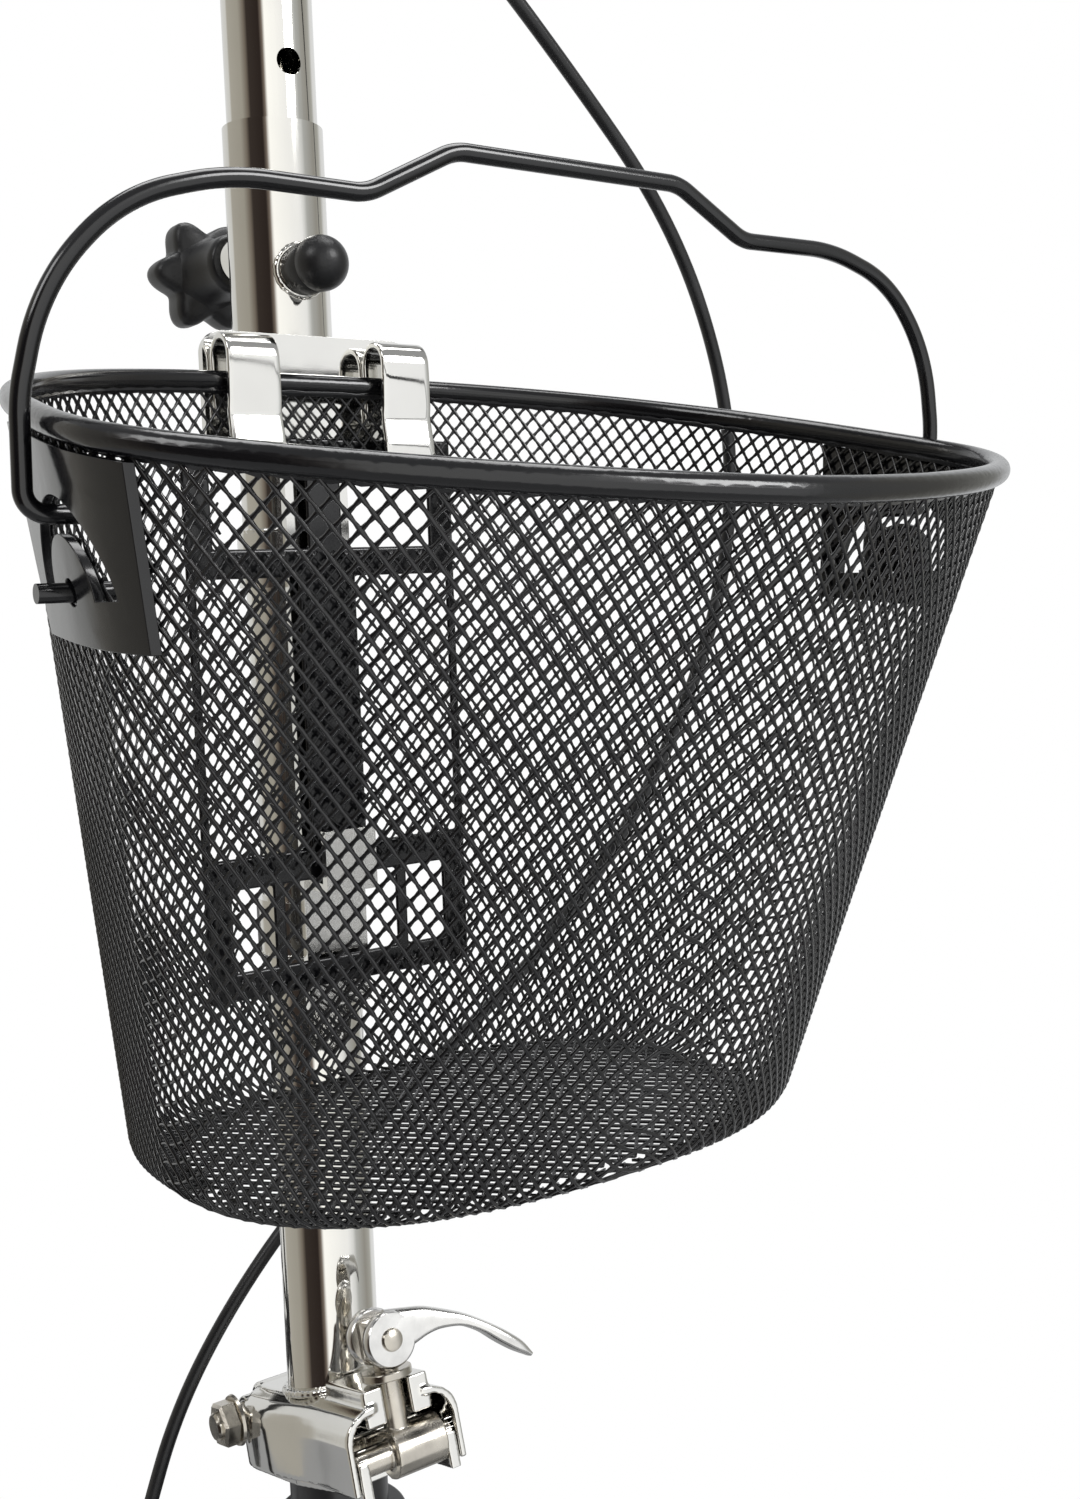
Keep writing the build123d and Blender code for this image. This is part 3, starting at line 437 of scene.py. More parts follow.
def tube(points, radii, sides=12, closed=False, name="tube"):
    """A round tube through points, with one radius for all or one each."""
    points = np.array(points, float)
    radii = np.broadcast_to(np.array(radii, float), len(points))
    ahead = np.roll(points, -1, 0) - np.roll(points, 1, 0)
    if not closed:
        ahead[0], ahead[-1] = points[1] - points[0], points[-1] - points[-2]
    ahead /= np.linalg.norm(ahead, axis=1)[:, None]
    # Any direction serves to start the ring's first side, as long as no tube here starts along it
    side = np.cross(ahead[0], (0.31, 0.17, 0.93))
    vertices = []
    for point, direction, radius in zip(points, ahead, radii):
        side = side - direction * (side @ direction)
        side = side / np.linalg.norm(side)
        up = np.cross(direction, side)
        for i in range(sides):
            angle = 2 * math.pi * i / sides
            vertices.append(point + radius * (math.cos(angle) * side + math.sin(angle) * up))
    return mesh_from(name, vertices, ring_faces(len(points), sides, closed, not closed), sharp=50)


def unit(vectors):
    return vectors / np.maximum(np.linalg.norm(vectors, axis=-1, keepdims=True), 1e-12)


def run_along(points):
    """How far along a row of points each one lies."""
    return np.concatenate([[0], np.cumsum(np.linalg.norm(np.diff(points, axis=0), axis=1))])


def relaxed(values, passes):
    """Values drawn towards their neighbours, with the two ends held."""
    for _ in range(passes):
        values[1:-1] = (values[:-2] + 2 * values[1:-1] + values[2:]) / 4
    return values


STRAND_TILT = math.radians(38)
STRAND_HALF_WIDTH, STRAND_HALF_THICKNESS = 0.00051, 0.00038
STRAND_CROWN = 1.1
STRAND_SIDES = 6
POINTS_PER_CELL = 2


def strands(lines, normals, rises, keep, swell):
    """Flattened strands of expanded metal along rows of points, with a closed end wherever keep stops."""
    ahead = unit(np.gradient(lines, axis=1))
    flat = unit(normals * math.cos(STRAND_TILT) + rises * math.sin(STRAND_TILT))
    flat = unit(flat - ahead * np.sum(flat * ahead, -1, keepdims=True))
    wide = np.cross(ahead, flat)
    angles = 2 * np.pi * (np.arange(STRAND_SIDES) + 0.5) / STRAND_SIDES
    across = (STRAND_HALF_WIDTH * np.cos(angles))[None, None, :, None]
    through = (STRAND_HALF_THICKNESS * np.sin(angles) * STRAND_CROWN)[None, None, :, None]
    section = (wide[:, :, None] * across + flat[:, :, None] * through) * swell[None, :, None, None]
    vertices = (lines[:, :, None] + section).reshape(-1, 3)
    rows, points = lines.shape[:2]
    faces = []
    for row in range(rows):
        for k in range(points - 1):
            if not keep[row, k]:
                continue
            base = (row * points + k) * STRAND_SIDES
            for i in range(STRAND_SIDES):
                j = (i + 1) % STRAND_SIDES
                faces.append((base + i, base + j, base + STRAND_SIDES + j, base + STRAND_SIDES + i))
            if k == 0 or not keep[row, k - 1]:
                faces.append(tuple(base + i for i in reversed(range(STRAND_SIDES))))
            if k == points - 2 or not keep[row, k + 1]:
                faces.append(tuple(base + STRAND_SIDES + i for i in range(STRAND_SIDES)))
    return vertices, faces


def strand_mesh(name, lines, normals, rises, keep, swell):
    vertices, faces = strands(lines, normals, rises, keep, swell)
    mesh = bpy.data.meshes.new(name)
    mesh.from_pydata(vertices.tolist(), [], faces)
    bm = bmesh.new()
    bm.from_mesh(mesh)
    bmesh.ops.delete(bm, geom=[v for v in bm.verts if not v.link_faces], context="VERTS")
    bm.to_mesh(mesh)
    bm.free()
    mesh.transform(BASKET)
    return smooth_mesh(mesh, 0)


# ---------------------------------------------------------------- basket
RIM_HALF_WIDTH, RIM_BACK, RIM_FRONT, RIM_DROP = 0.1267, 0.1418, 0.0713, math.radians(12)
RIM_BACK_POWER, RIM_FRONT_POWER = 2.45, 1.7
FLOOR_HALF_WIDTH, FLOOR_REACH, FLOOR_DROP = 0.0925, 0.073, math.radians(-2.8)
FLOOR_BACK_POWER, FLOOR_FRONT_POWER = 3.0, 2.4
BASKET_HEIGHT = 0.217
WALL_INSET = 0.0009
MESH_COLUMNS = 140
ROW_PITCH, FLOOR_PITCH = 0.0062, 0.0053
FLOOR_MESH_LIFT = 0.0022
FOLD_RADIUS = 0.010
# A quadratic curve round a square corner is 1.62 times as long as one of its arms
FOLD_LENGTH = 1.62 * FOLD_RADIUS
FOLD_TAIL = 0.004
# Openings in the back wall: half width, and each one's lower and upper edge below the rim
WINDOW_HALF_WIDTH, BACK_WALL_DEPTH = 0.038, 0.04
WINDOWS = ((-0.048, -0.020), (-0.181, -0.148))
# The bail's slots: an arch round each pivot and the pivot's hole, in the walls this far out
SLOT_INNER, SLOT_OUTER, SLOT_BOTTOM = 0.0115, 0.0205, -0.0025
PIVOT_HOLE, SIDE_WALLS_FROM = 0.0035, 0.09


def oval(angle, half_width, back, front, back_power, front_power, drop, height):
    """Points of a basket outline at these angles: two half ovals joined at the widest place."""
    along, across = np.cos(angle), np.sin(angle)
    power = np.where(along > 0, front_power, back_power)
    reach = np.where(along > 0, front, back)
    x = back + reach * np.sign(along) * np.abs(along) ** (2 / power)
    y = half_width * np.sign(across) * np.abs(across) ** (2 / power)
    return np.stack([x, y, height - x * math.tan(drop)], -1)


def rim_points(angle):
    inset = WALL_INSET
    points = oval(angle, RIM_HALF_WIDTH - inset, RIM_BACK - inset, RIM_FRONT - inset,
                  RIM_BACK_POWER, RIM_FRONT_POWER, RIM_DROP, 0.0)
    return points + (inset, 0, 0)


def floor_points(angle):
    inset = WALL_INSET
    reach = FLOOR_REACH - inset
    points = oval(angle, FLOOR_HALF_WIDTH - inset, reach, reach,
                  FLOOR_BACK_POWER, FLOOR_FRONT_POWER, FLOOR_DROP, -BASKET_HEIGHT)
    return points + (inset, 0, 0)


def even_angles(count):
    """Angles that space points evenly along the rim, as a table over one turn."""
    fine = np.linspace(0, 2 * np.pi, 2881)
    run = run_along(rim_points(fine))
    return np.interp(np.linspace(0, run[-1], count + 1), run, fine)


ANGLE_TABLE = even_angles(5600)


def wall_point(share, depth):
    """The point of the mesh wall this share of the way round, this far down from the rim, and how far down
    the wall goes there. Near the floor it turns in on a curve and runs on under the floor's edge."""
    turns = np.mod(share, 1.0) * (len(ANGLE_TABLE) - 1)
    angle = np.interp(turns, np.arange(len(ANGLE_TABLE)), ANGLE_TABLE)
    rim, foot = rim_points(angle), floor_points(angle)
    centre = np.array([FLOOR_REACH, 0.0, -BASKET_HEIGHT - FLOOR_REACH * math.tan(FLOOR_DROP)])
    down, inward = unit(foot - rim), unit(centre - foot)
    height = np.linalg.norm(foot - rim, axis=-1)
    straight = (height - FOLD_RADIUS)[..., None]
    depth = depth[..., None]
    turn = np.clip((depth - straight) / FOLD_LENGTH, 0, 1)
    beyond = np.maximum(depth - straight - FOLD_LENGTH, 0)
    start, end = foot - down * FOLD_RADIUS, foot + inward * FOLD_RADIUS
    curve = start * (1 - turn) ** 2 + foot * 2 * turn * (1 - turn) + end * turn ** 2
    on_wall = rim + down * np.minimum(depth, straight)
    point = np.where(depth < straight, on_wall, curve) + inward * beyond
    return point, straight[..., 0] + FOLD_LENGTH + FOLD_TAIL


def in_back_windows(points):
    x, y, z = points[..., 0], points[..., 1], points[..., 2]
    inside = np.zeros(x.shape, bool)
    for low, high in WINDOWS:
        inside |= (x < BACK_WALL_DEPTH) & (np.abs(y) < WINDOW_HALF_WIDTH) & (z > low) & (z < high)
    return inside


def in_bail_slots(points):
    """The arched slot that each leg of the bail swings in, and the hole of its pivot."""
    x, z = points[..., 0] - BAIL_PIVOT.x, points[..., 2] - BAIL_PIVOT.z
    reach = np.hypot(x, z)
    arch = (reach > SLOT_INNER) & (reach < SLOT_OUTER) & (z > SLOT_BOTTOM)
    return (np.abs(points[..., 1]) > SIDE_WALLS_FROM) & (arch | (reach < PIVOT_HOLE))


def node_swell(steps):
    """Strands are broadest where they meet, which rounds the corners of the holes."""
    return np.where(steps % POINTS_PER_CELL == 0, 1.32, 0.86)


def wall_mesh():
    rows = int(0.26 / (ROW_PITCH / 2)) * POINTS_PER_CELL
    steps = np.arange(-POINTS_PER_CELL, rows)
    cells = steps / POINTS_PER_CELL
    families = []
    for lean, lift in ((1, 0.00010), (-1, -0.00010)):
        share = (np.arange(MESH_COLUMNS)[:, None] + lean * cells[None, :] / 2) / MESH_COLUMNS
        depth = np.broadcast_to(cells * ROW_PITCH / 2, share.shape)
        point, limit = wall_point(share, depth)
        aside, _ = wall_point(share + 0.0005, depth)
        below, _ = wall_point(share, depth + 0.0004)
        rises = unit(point - below)
        normals = unit(np.cross(aside - point, point - below))
        point = point + normals * lift
        middle = (point[:, 1:] + point[:, :-1]) / 2
        keep = (depth[:, 1:] < limit[:, 1:]) & ~in_back_windows(middle) & ~in_bail_slots(middle)
        families.append((point, normals, rises, keep))
    joined = [np.concatenate(arrays) for arrays in zip(*families)]
    return strand_mesh("basket_wall_mesh", *joined, node_swell(steps))


def floor_mesh():
    """The basket's floor: the same mesh, cut to the floor's outline and laid on the turned-in wall."""
    half_x, half_y = ROW_PITCH / 2, FLOOR_PITCH / 2
    count, edge, power = 80, 0.009, 2.8
    families = []
    steps = np.arange(-count, count)
    for lean in (1, -1):
        x = FLOOR_REACH + steps[None, :] * half_x + np.zeros((2 * count, 1))
        y = (2 * np.arange(-count, count)[:, None] + lean * steps[None, :]) * half_y
        z = -BASKET_HEIGHT - x * math.tan(FLOOR_DROP) + FLOOR_MESH_LIFT
        point = np.stack([x, y, z], -1)
        across = np.abs(y / (FLOOR_HALF_WIDTH - edge)) ** power
        reach = np.abs((x - FLOOR_REACH) / (FLOOR_REACH - edge)) ** power
        inside = across + reach < 1
        normals = np.broadcast_to(np.array([0.0, 0.0, 1.0]), point.shape)
        rises = np.broadcast_to(np.array([1.0, 0.0, 0.0]), point.shape)
        families.append((point, normals, rises, inside[:, 1:] & inside[:, :-1]))
    joined = [np.concatenate(arrays) for arrays in zip(*families)]
    return strand_mesh("basket_floor_mesh", *joined, np.full(len(steps), 1.1))


HOOK_HALF_WIDTH, HOOK_THICKNESS, HOOK_FLARE = 0.0077, 0.0018, 0.0012
HOOK_CORNER, HOOK_EDGE = 0.0035, 0.0004
HOOK_PLACES = (-0.026, 0.026)


def strap(path, centre_y):
    """A bent strap: a path of (x, z) points swept across Y, with its lower corners rounded."""
    points = np.array(path)
    ahead = unit(np.gradient(points, axis=0))
    out = np.stack([ahead[:, 1], -ahead[:, 0]], -1)
    run = run_along(points)
    short = np.maximum(HOOK_CORNER - (run[-1] - run), 0)
    pinch = HOOK_CORNER - np.sqrt(HOOK_CORNER ** 2 - short ** 2)
    half = HOOK_HALF_WIDTH - pinch + HOOK_FLARE * run / run[-1]
    vertices, faces = [], []
    columns = 8
    for side in (1, -1):
        for k, point in enumerate(points):
            face = point + out[k] * side * HOOK_THICKNESS / 2
            for i in range(columns + 1):
                y = centre_y + half[k] * (2 * i / columns - 1)
                vertices.append((face[0], y, face[1]))
    count, width = len(points), columns + 1
    sheet = count * width
    for k in range(count - 1):
        for i in range(columns):
            a = k * width + i
            faces.append((a, a + 1, a + width + 1, a + width))
            faces.append((sheet + a, sheet + a + width, sheet + a + width + 1, sheet + a + 1))
        for a in (k * width, k * width + columns):
            faces.append((a, a + width, sheet + a + width, sheet + a))
    for k in (0, count - 1):
        for i in range(columns):
            a = k * width + i
            faces.append((a, sheet + a, sheet + a + 1, a + 1))
    mesh = face_outwards(mesh_from("strap", vertices, faces, sharp=0))
    bm = bmesh.new()
    bm.from_mesh(mesh)
    round_edges(bm, sharp_edges(bm, 50), HOOK_EDGE)
    bm.to_mesh(mesh)
    bm.free()
    return smooth_mesh(mesh, 0)


def make_hooks():
    """Two straps bent over the rim, with a half-round top and a kinked front leg."""
    path = [(-0.0051, -0.0078), (-0.0051, -0.002), (-0.0051, 0.005)]
    path += arc(0.00125, 0.00975, 0.00635, 180, 0, 16)
    path += [(0.0077, 0.0040), (0.0075, -0.0030), (0.0070, -0.0062), (0.0072, -0.0082),
             (0.0084, -0.0145), (0.0089, -0.0182), (0.0085, -0.0212), (0.0083, -0.0230)]
    mesh = join_meshes("rim_hooks", [strap(path, y) for y in HOOK_PLACES])
    mesh.transform(BASKET)
    show("rim_hook_straps", mesh, "basket_hooks", ("basket_hooks",))


def make_basket():
    wall = join_meshes("basket_wire_mesh", [wall_mesh(), floor_mesh()])
    show("basket_wire_mesh", wall, "basket_mesh", ("basket_mesh",))
    make_hooks()
    # A rippled line of weld inside the rim wire, where the mesh laps it
    inset = 0.0012
    angle = np.linspace(0, 2 * np.pi, 240, endpoint=False)
    lap = oval(angle, RIM_HALF_WIDTH - inset, RIM_BACK - inset, RIM_FRONT - inset,
               RIM_BACK_POWER, RIM_FRONT_POWER, RIM_DROP, 0.0002)
    ripple = 0.0010 + 0.0003 * np.sin(angle * MESH_COLUMNS)
    line = tube(lap + (inset, 0, 0), ripple, 6, closed=True, name="rim_weld_line")
    line.transform(BASKET)
    show("rim_weld_line", line, "basket_rim")


def rounded_path(corners, radii, steps=14):
    """A path through corners, each but the ends rounded to its radius."""
    path = [Vector(corners[0])]
    for before, corner, after, radius in zip(corners, corners[1:], corners[2:], radii):
        corner = Vector(corner)
        back, ahead = (Vector(before) - corner).normalized(), (Vector(after) - corner).normalized()
        half_turn = (math.pi - back.angle(ahead)) / 2
        cut = radius * math.tan(half_turn)
        centre = corner + (back + ahead).normalized() * (radius / math.cos(half_turn))
        start = corner + back * cut - centre
        swing = back.cross(ahead).normalized()
        for k in range(steps + 1):
            turn = Matrix.Rotation(-2 * half_turn * k / steps, 3, swing)
            path.append(centre + turn @ start)
    path.append(Vector(corners[-1]))
    return path


BAIL_RADIUS = 0.0021
BAIL_LEAN = math.radians(6)
BAIL_CORNERS = [(0, 0, 0.097), (0, 0.033, 0.097), (0, 0.0555, 0.0855), (0, 0.088, 0.0858),
                (0, 0.1105, 0.0795), (0, 0.128, 0.061), (0, 0.133, 0.039), (0, 0.133, 0.016),
                (0, 0.111, 0.016), (0, 0.111, 0), (0, 0.131, 0)]
BAIL_BENDS = [0.014, 0.014, 0.060, 0.040, 0.048, 0.040, 0.005, 0.005, 0.005]


def make_bail():
    """The carrying handle: one wire, its ends hooked through the ears from inside."""
    half = rounded_path(BAIL_CORNERS, BAIL_BENDS)
    whole = [Vector((p.x, -p.y, p.z)) for p in reversed(half[1:])] + half
    spaced = [whole[0]]
    for point in whole[1:]:
        if (point - spaced[-1]).length > 0.0003:
            spaced.append(point)
    mesh = tube(spaced, BAIL_RADIUS, 20)
    mesh.transform(BASKET @ Matrix.Translation(BAIL_PIVOT) @ Matrix.Rotation(BAIL_LEAN, 4, "Y"))
    show("bail_wire", mesh, "basket_bail", ("basket_bail",))


# ---------------------------------------------------------------- welds
RIPPLE_PITCH = 0.0022


def bead(points, radius):
    """A weld bead along a closed line of points, with its overlapping ripples."""
    step = RIPPLE_PITCH
    points = np.array(points, float)
    points = np.concatenate([points, points[:1]])
    run = run_along(points)
    count = max(12, int(run[-1] / (step / 5)))
    places = np.linspace(0, run[-1], count, endpoint=False)
    line = np.stack([np.interp(places, run, points[:, i]) for i in range(3)], -1)
    phase = 2 * np.pi * places / step
    radii = radius * (1 + 0.16 * np.abs(np.sin(phase / 2)) + 0.05 * np.sin(places * 900))
    return tube(line, radii, 10, closed=True, name="bead")


def tube_foot(matrix, frame_matrix, radius, height, count=72):
    """Where a tube along frame_matrix's Z meets the plane z = height of matrix."""
    to_plane = matrix.inverted() @ frame_matrix
    row = to_plane[2]
    points = []
    for i in range(count):
        angle = 2 * math.pi * i / count
        x, y = radius * math.cos(angle), radius * math.sin(angle)
        z = (height - row[0] * x - row[1] * y - row[3]) / row[2]
        points.append(frame_matrix @ Vector((x, y, z)))
    return points


def ring_points(matrix, radius, height, count=64):
    angles = [2 * math.pi * i / count for i in range(count)]
    return [matrix @ Vector((radius * math.cos(a), radius * math.sin(a), height)) for a in angles]


def boss_line(radius, height, side, count=48):
    """Where a boss of this radius meets the column, on its front (1) or its back (-1)."""
    points = []
    for i in range(count):
        angle = 2 * math.pi * i / count
        across, up = radius * math.cos(angle), radius * math.sin(angle)
        out = side * math.sqrt(COLUMN_RADIUS ** 2 - across ** 2)
        points.append(STEER @ Vector((out, across, height + up)))
    return points


def make_welds():
    foot = tube_foot(CLAMP, STEER, COLUMN_RADIUS + 0.0006, 0.0124)
    show("column_weld", bead(foot, 0.0013), "fold_block")
    for word, z in (("lower", -0.179), ("upper", -0.041)):
        ring = ring_points(BASKET @ place(-0.025, 0, z), COLUMN_RADIUS + 0.0013, 0)
        show("bracket_weld_" + word, bead(ring, 0.0008), "basket_bracket")
    show("plunger_weld", bead(boss_line(0.0076, PLUNGER_Z, 1), 0.0012), "column_bosses")
    show("knob_boss_weld", bead(boss_line(0.0085, KNOB_Z, -1), 0.0011), "column_bosses")


# ---------------------------------------------------------------- knobs and caps
def make_star_knob():
    """A six-lobed knob with a dished back, a hub and a rounded rim."""
    lobes, steps = 6, 144
    inner, outer = 0.0142, 0.0196
    front, back = -0.0660, -0.0525
    # Each ring: share of the full radius, place along the screw, how far it follows the lobes
    rings = [(0.0, back + 0.0035, 0), (0.35, back + 0.0032, 0), (0.62, back + 0.0020, 0), (0.86, back, 0.6),
             (0.94, back - 0.0006, 0.9), (0.985, back - 0.0022, 1), (1.0, back - 0.0042, 1),
             (1.0, front + 0.0042, 1), (0.985, front + 0.0022, 1), (0.94, front + 0.0006, 0.9),
             (0.86, front, 0.6), (0.5, front - 0.0006, 0), (0.0, front - 0.0008, 0)]
    vertices = []
    for share, x, wave in rings:
        for i in range(steps):
            angle = 2 * math.pi * i / steps
            bulge = (0.5 - 0.5 * math.cos(lobes * angle)) ** 0.85
            lobed = inner + (outer - inner) * bulge
            radius = share * (lobed * wave + (inner * 0.92) * (1 - wave))
            vertices.append((x, radius * math.sin(angle), KNOB_Z + radius * math.cos(angle)))
    disc = mesh_from("knob_disc", vertices, ring_faces(len(rings), steps), STEER, 0)
    turn = STEER @ place(0, 0, KNOB_Z, -math.pi / 2)
    hub = lathe([(0, 0.0300), (0.0086, 0.0300), (0.0096, 0.0310), (0.0100, 0.034), (0.0105, 0.0505),
                 (0.0128, 0.0530), (0, 0.0540)], turn, 48, "knob_hub")
    screw = lathe([(0, 0.0147), (0.0034, 0.0147), (0.0039, 0.0154), (0.0039, 0.034), (0, 0.034)],
                  turn, 32, "knob_screw")
    mesh = face_outwards(join_meshes("star_knob", [disc, hub]), SAME_POINT)
    show("star_knob_moulding", smooth_mesh(mesh, 50), "star_knob", ("star_knob",))
    show("star_knob_screw", screw, "fold_bolt", body=BODY_OF["star_knob"])


def make_plunger():
    turn = STEER @ place(0, 0, PLUNGER_Z, math.pi / 2)
    cap = [(0.0074, 0.0170), (0.0077, 0.0171), (0.0079, 0.0176), (0.0080, 0.0264), (0.0077, 0.0268),
           (0.0077, 0.0272), (0.0083, 0.0276)]
    cap += arc(0, 0.0292, 0.0084, -8, 84, 14) + [(0, 0.0376), (0, 0.0248), (0.0074, 0.0248)]
    show("plunger_cap", lathe(cap, turn, 64, "plunger_cap"), "pull_plunger", ("pull_plunger",))
    pin = [(0, 0.01475), (0.0024, 0.01475), (0.0030, 0.0153), (0.0030, 0.0250), (0, 0.0250)]
    show("plunger_pin", lathe(pin, turn, 32, "plunger_pin"), "fold_bolt", body=BODY_OF["pull_plunger"])


# ---------------------------------------------------------------- fold clamp
LATCH_X, CAM_Z = 0.0463, 0.0298
# The blade in mm: across the scooter, up from the cam's centre, half height, half depth, lean forward
LEVER_SHAPE = [
    (0.0, 1.6, 8.0, 2.1, 0.0), (7.0, 2.0, 6.3, 2.1, 0.1), (12.5, 2.3, 4.9, 2.3, 0.3),
    (18.0, 1.6, 3.3, 2.8, 0.8), (26.0, -0.7, 2.0, 3.4, 1.8), (33.0, -5.2, 1.8, 3.9, 2.8),
    (38.0, -9.6, 2.3, 4.3, 3.6), (43.5, -14.4, 2.1, 4.2, 4.4), (47.5, -18.4, 0.8, 2.2, 5.0)]


def squared(turn, power):
    """A sine or cosine pushed out towards the corners of a rounded box."""
    return math.copysign(abs(turn) ** power, turn)


def make_latch_lever():
    """A cast cam lever: a thin blade that sweeps out, tall at the cam and flat towards its tip."""
    stations, sides = 40, 20
    shape = np.array(LEVER_SHAPE) * MM
    t = np.linspace(0, 1, stations)
    knots = np.linspace(0, 1, len(shape))
    columns = [relaxed(np.interp(t, knots, shape[:, i]), 3) for i in range(5)]
    y_line, z_line, half_height, half_depth, lean = columns
    line = np.stack([y_line, z_line], -1)
    ahead = unit(np.gradient(line, axis=0))
    normal = np.stack([-ahead[:, 1], ahead[:, 0]], -1)
    vertices = []
    for k in range(stations):
        for i in range(sides):
            angle = 2 * math.pi * i / sides
            y, z = line[k] + normal[k] * squared(math.cos(angle), 0.55) * half_height[k]
            deep = squared(math.sin(angle), 0.7) * half_depth[k]
            vertices.append((LATCH_X + 0.0062 + lean[k] + deep, y, CAM_Z + z))
    blade = mesh_from("blade", vertices, ring_faces(stations, sides, capped=True), CLAMP, 50)
    turn = CLAMP @ place(LATCH_X, 0, CAM_Z, math.pi / 2)
    discs = []
    for start in (-0.0083, 0.0041):
        outline = [(0, start), (0.0082, start), (0.0090, start + 0.0008), (0.0090, start + 0.0034),
                   (0.0082, start + 0.0042), (0, start + 0.0042)]
        discs.append(lathe(outline, turn, 64, "cam"))
    mesh = join_meshes("latch_lever", [blade, *discs])
    show("latch_lever_casting", smooth_mesh(mesh, 45), "latch_lever", ("latch_lever",))
    pin = [(0, -0.0095), (0.0030, -0.0095), (0.0037, -0.0088), (0.0037, 0.0086), (0.0033, 0.0094),
           (0.0020, 0.0099), (0, 0.0100)]
    show("latch_cam_pin", lathe(pin, turn, 40, "cam_pin"), "latch_washer", body=BODY_OF["latch_lever"])


# The cover in mm: half its plan, (inset, height) round its wall's section, and the raised seat's plan
COVER_HALF = [(-36.5, 8), (-36, 14), (-33.5, 20.5), (-28, 23.8), (-18, 24.8), (-6, 24.6), (6, 23.0),
              (16, 21.3), (26, 20.6), (38, 20.6), (52, 20.6)]
COVER_PROFILE = [(0, -13.8), (0, 2.4), (0.5, 5.0), (1.8, 7.4), (4.2, 9.6), (8.0, 11.2), (12, 11.8),
                 (12, 9.4), (7.8, 8.8), (5.0, 7.2), (3.2, 4.6), (2.3, 1.4), (2.3, -13.8)]
LATCH_SEAT = [(22, 41, -12, 12), (40, 51, -12, -4.8), (40, 51, 4.8, 12)]
FOLD_BOLT = (-0.0285, 0, 0.0024)
PLAN_STEPS = 60


def cover_outline(inset):
    """The clamp cover's plan: a full hip beside the hinge bolt, a waist, then straight cheeks."""
    half = np.array(COVER_HALF) * MM
    t = np.linspace(0, len(half) - 1, PLAN_STEPS)
    half = relaxed(np.stack([np.interp(t, np.arange(len(half)), half[:, i]) for i in (0, 1)], -1), 5)
    whole = np.concatenate([(half * (1, -1))[::-1], half])
    ahead = unit(np.gradient(whole, axis=0))
    outward = np.stack([-ahead[:, 1], ahead[:, 0]], -1)
    return whole - outward * inset


def slab(outline, z0, z1):
    """A closed prism between two heights."""
    count = len(outline)
    vertices = [(x, y, z) for z in (z0, z1) for x, y in outline]
    faces = [(i, (i + 1) % count, count + (i + 1) % count, count + i) for i in range(count)]
    faces += [tuple(reversed(range(count))), tuple(range(count, 2 * count))]
    return face_outwards(mesh_from("slab", vertices, faces, sharp=0))


def cover_skirt():
    """The cover's side wall and rounded shoulder, swept round its plan and open at the front."""
    rings = [np.column_stack([cover_outline(inset * MM), np.full(2 * PLAN_STEPS, z * MM)])
             for inset, z in COVER_PROFILE]
    count, steps = len(rings), len(rings[0])
    vertices = [tuple(point) for ring in rings for point in ring]
    faces = []
    for i in range(count):
        a, b = i * steps, (i + 1) % count * steps
        faces += [(a + k, a + k + 1, b + k + 1, b + k) for k in range(steps - 1)]
    faces += [tuple(i * steps for i in range(count)), tuple(i * steps - 1 for i in range(count, 0, -1))]
    return face_outwards(mesh_from("skirt", vertices, faces, sharp=0))


def box_outline(x0, x1, y0, y1):
    return np.array([(x0, y0), (x1, y0), (x1, y1), (x0, y1)]) * MM


def make_clamp_cover():
    """The half that rides with the column, as one pressing: a deep cover with a raised latch seat."""
    top = cover_outline(0.0085)
    barrel = lathe([(0.0054, -0.015), (0.0098, -0.015), (0.0098, 0.015), (0.0054, 0.015)],
                   along_axis(FOLD_BOLT, (0, 1, 0)), 48, "barrel")
    solids = [cover_skirt(), slab(top[top[:, 0] < 0.040], 0.0094, 0.0118)]
    solids += [slab(box_outline(*box), 0.0046, 0.0163) for box in LATCH_SEAT] + [barrel]
    mesh = join_meshes("fold_cover_pressing", solids)
    mesh.transform(CLAMP)
    flow_edges(show("fold_cover_pressing", mesh, "fold_block", ("fold_block",)), 0.00055, 9)


def make_fold_bolt():
    """The hinge bolt: a domed head on the left, a chamfered nut and the stud's end on the right."""
    turn = CLAMP @ along_axis(FOLD_BOLT, (0, -1, 0))
    stud = lathe([(0, -0.0255), (0.0049, -0.0255), (0.0049, 0.0330), (0.0042, 0.0338), (0, 0.0338)],
                 turn, 40, "stud")
    head = lathe([(0, -0.0300), (0.0052, -0.0298), (0.0078, -0.0284), (0.0084, -0.0268), (0.0084, -0.0252),
                  (0, -0.0252)], turn, 48, "head")
    washer = lathe([(0.0051, 0.0249), (0.0086, 0.0249), (0.0089, 0.0252), (0.0086, 0.0262),
                    (0.0051, 0.0262)], turn, 48, "washer")
    nut = lathe([(0.0050, 0.0262), (0.0076, 0.0262), (0.0082, 0.0268), (0.0082, 0.0312), (0.0072, 0.0322),
                 (0.0050, 0.0322)], turn, 6, "nut", 20)
    mesh = join_meshes("fold_bolt", [stud, head, washer, nut])
    show("fold_bolt_and_nut", mesh, "fold_bolt", ("fold_bolt",))


def make_clamp():
    make_clamp_cover()
    make_fold_bolt()
    formed("fold_channel", 0.00055, 6, "fold_channel_pressing")
    formed("latch_eyebolt", 0.0004, 3, "latch_eye_forging")
    eased("latch_washer", 0.0005)
    make_latch_lever()


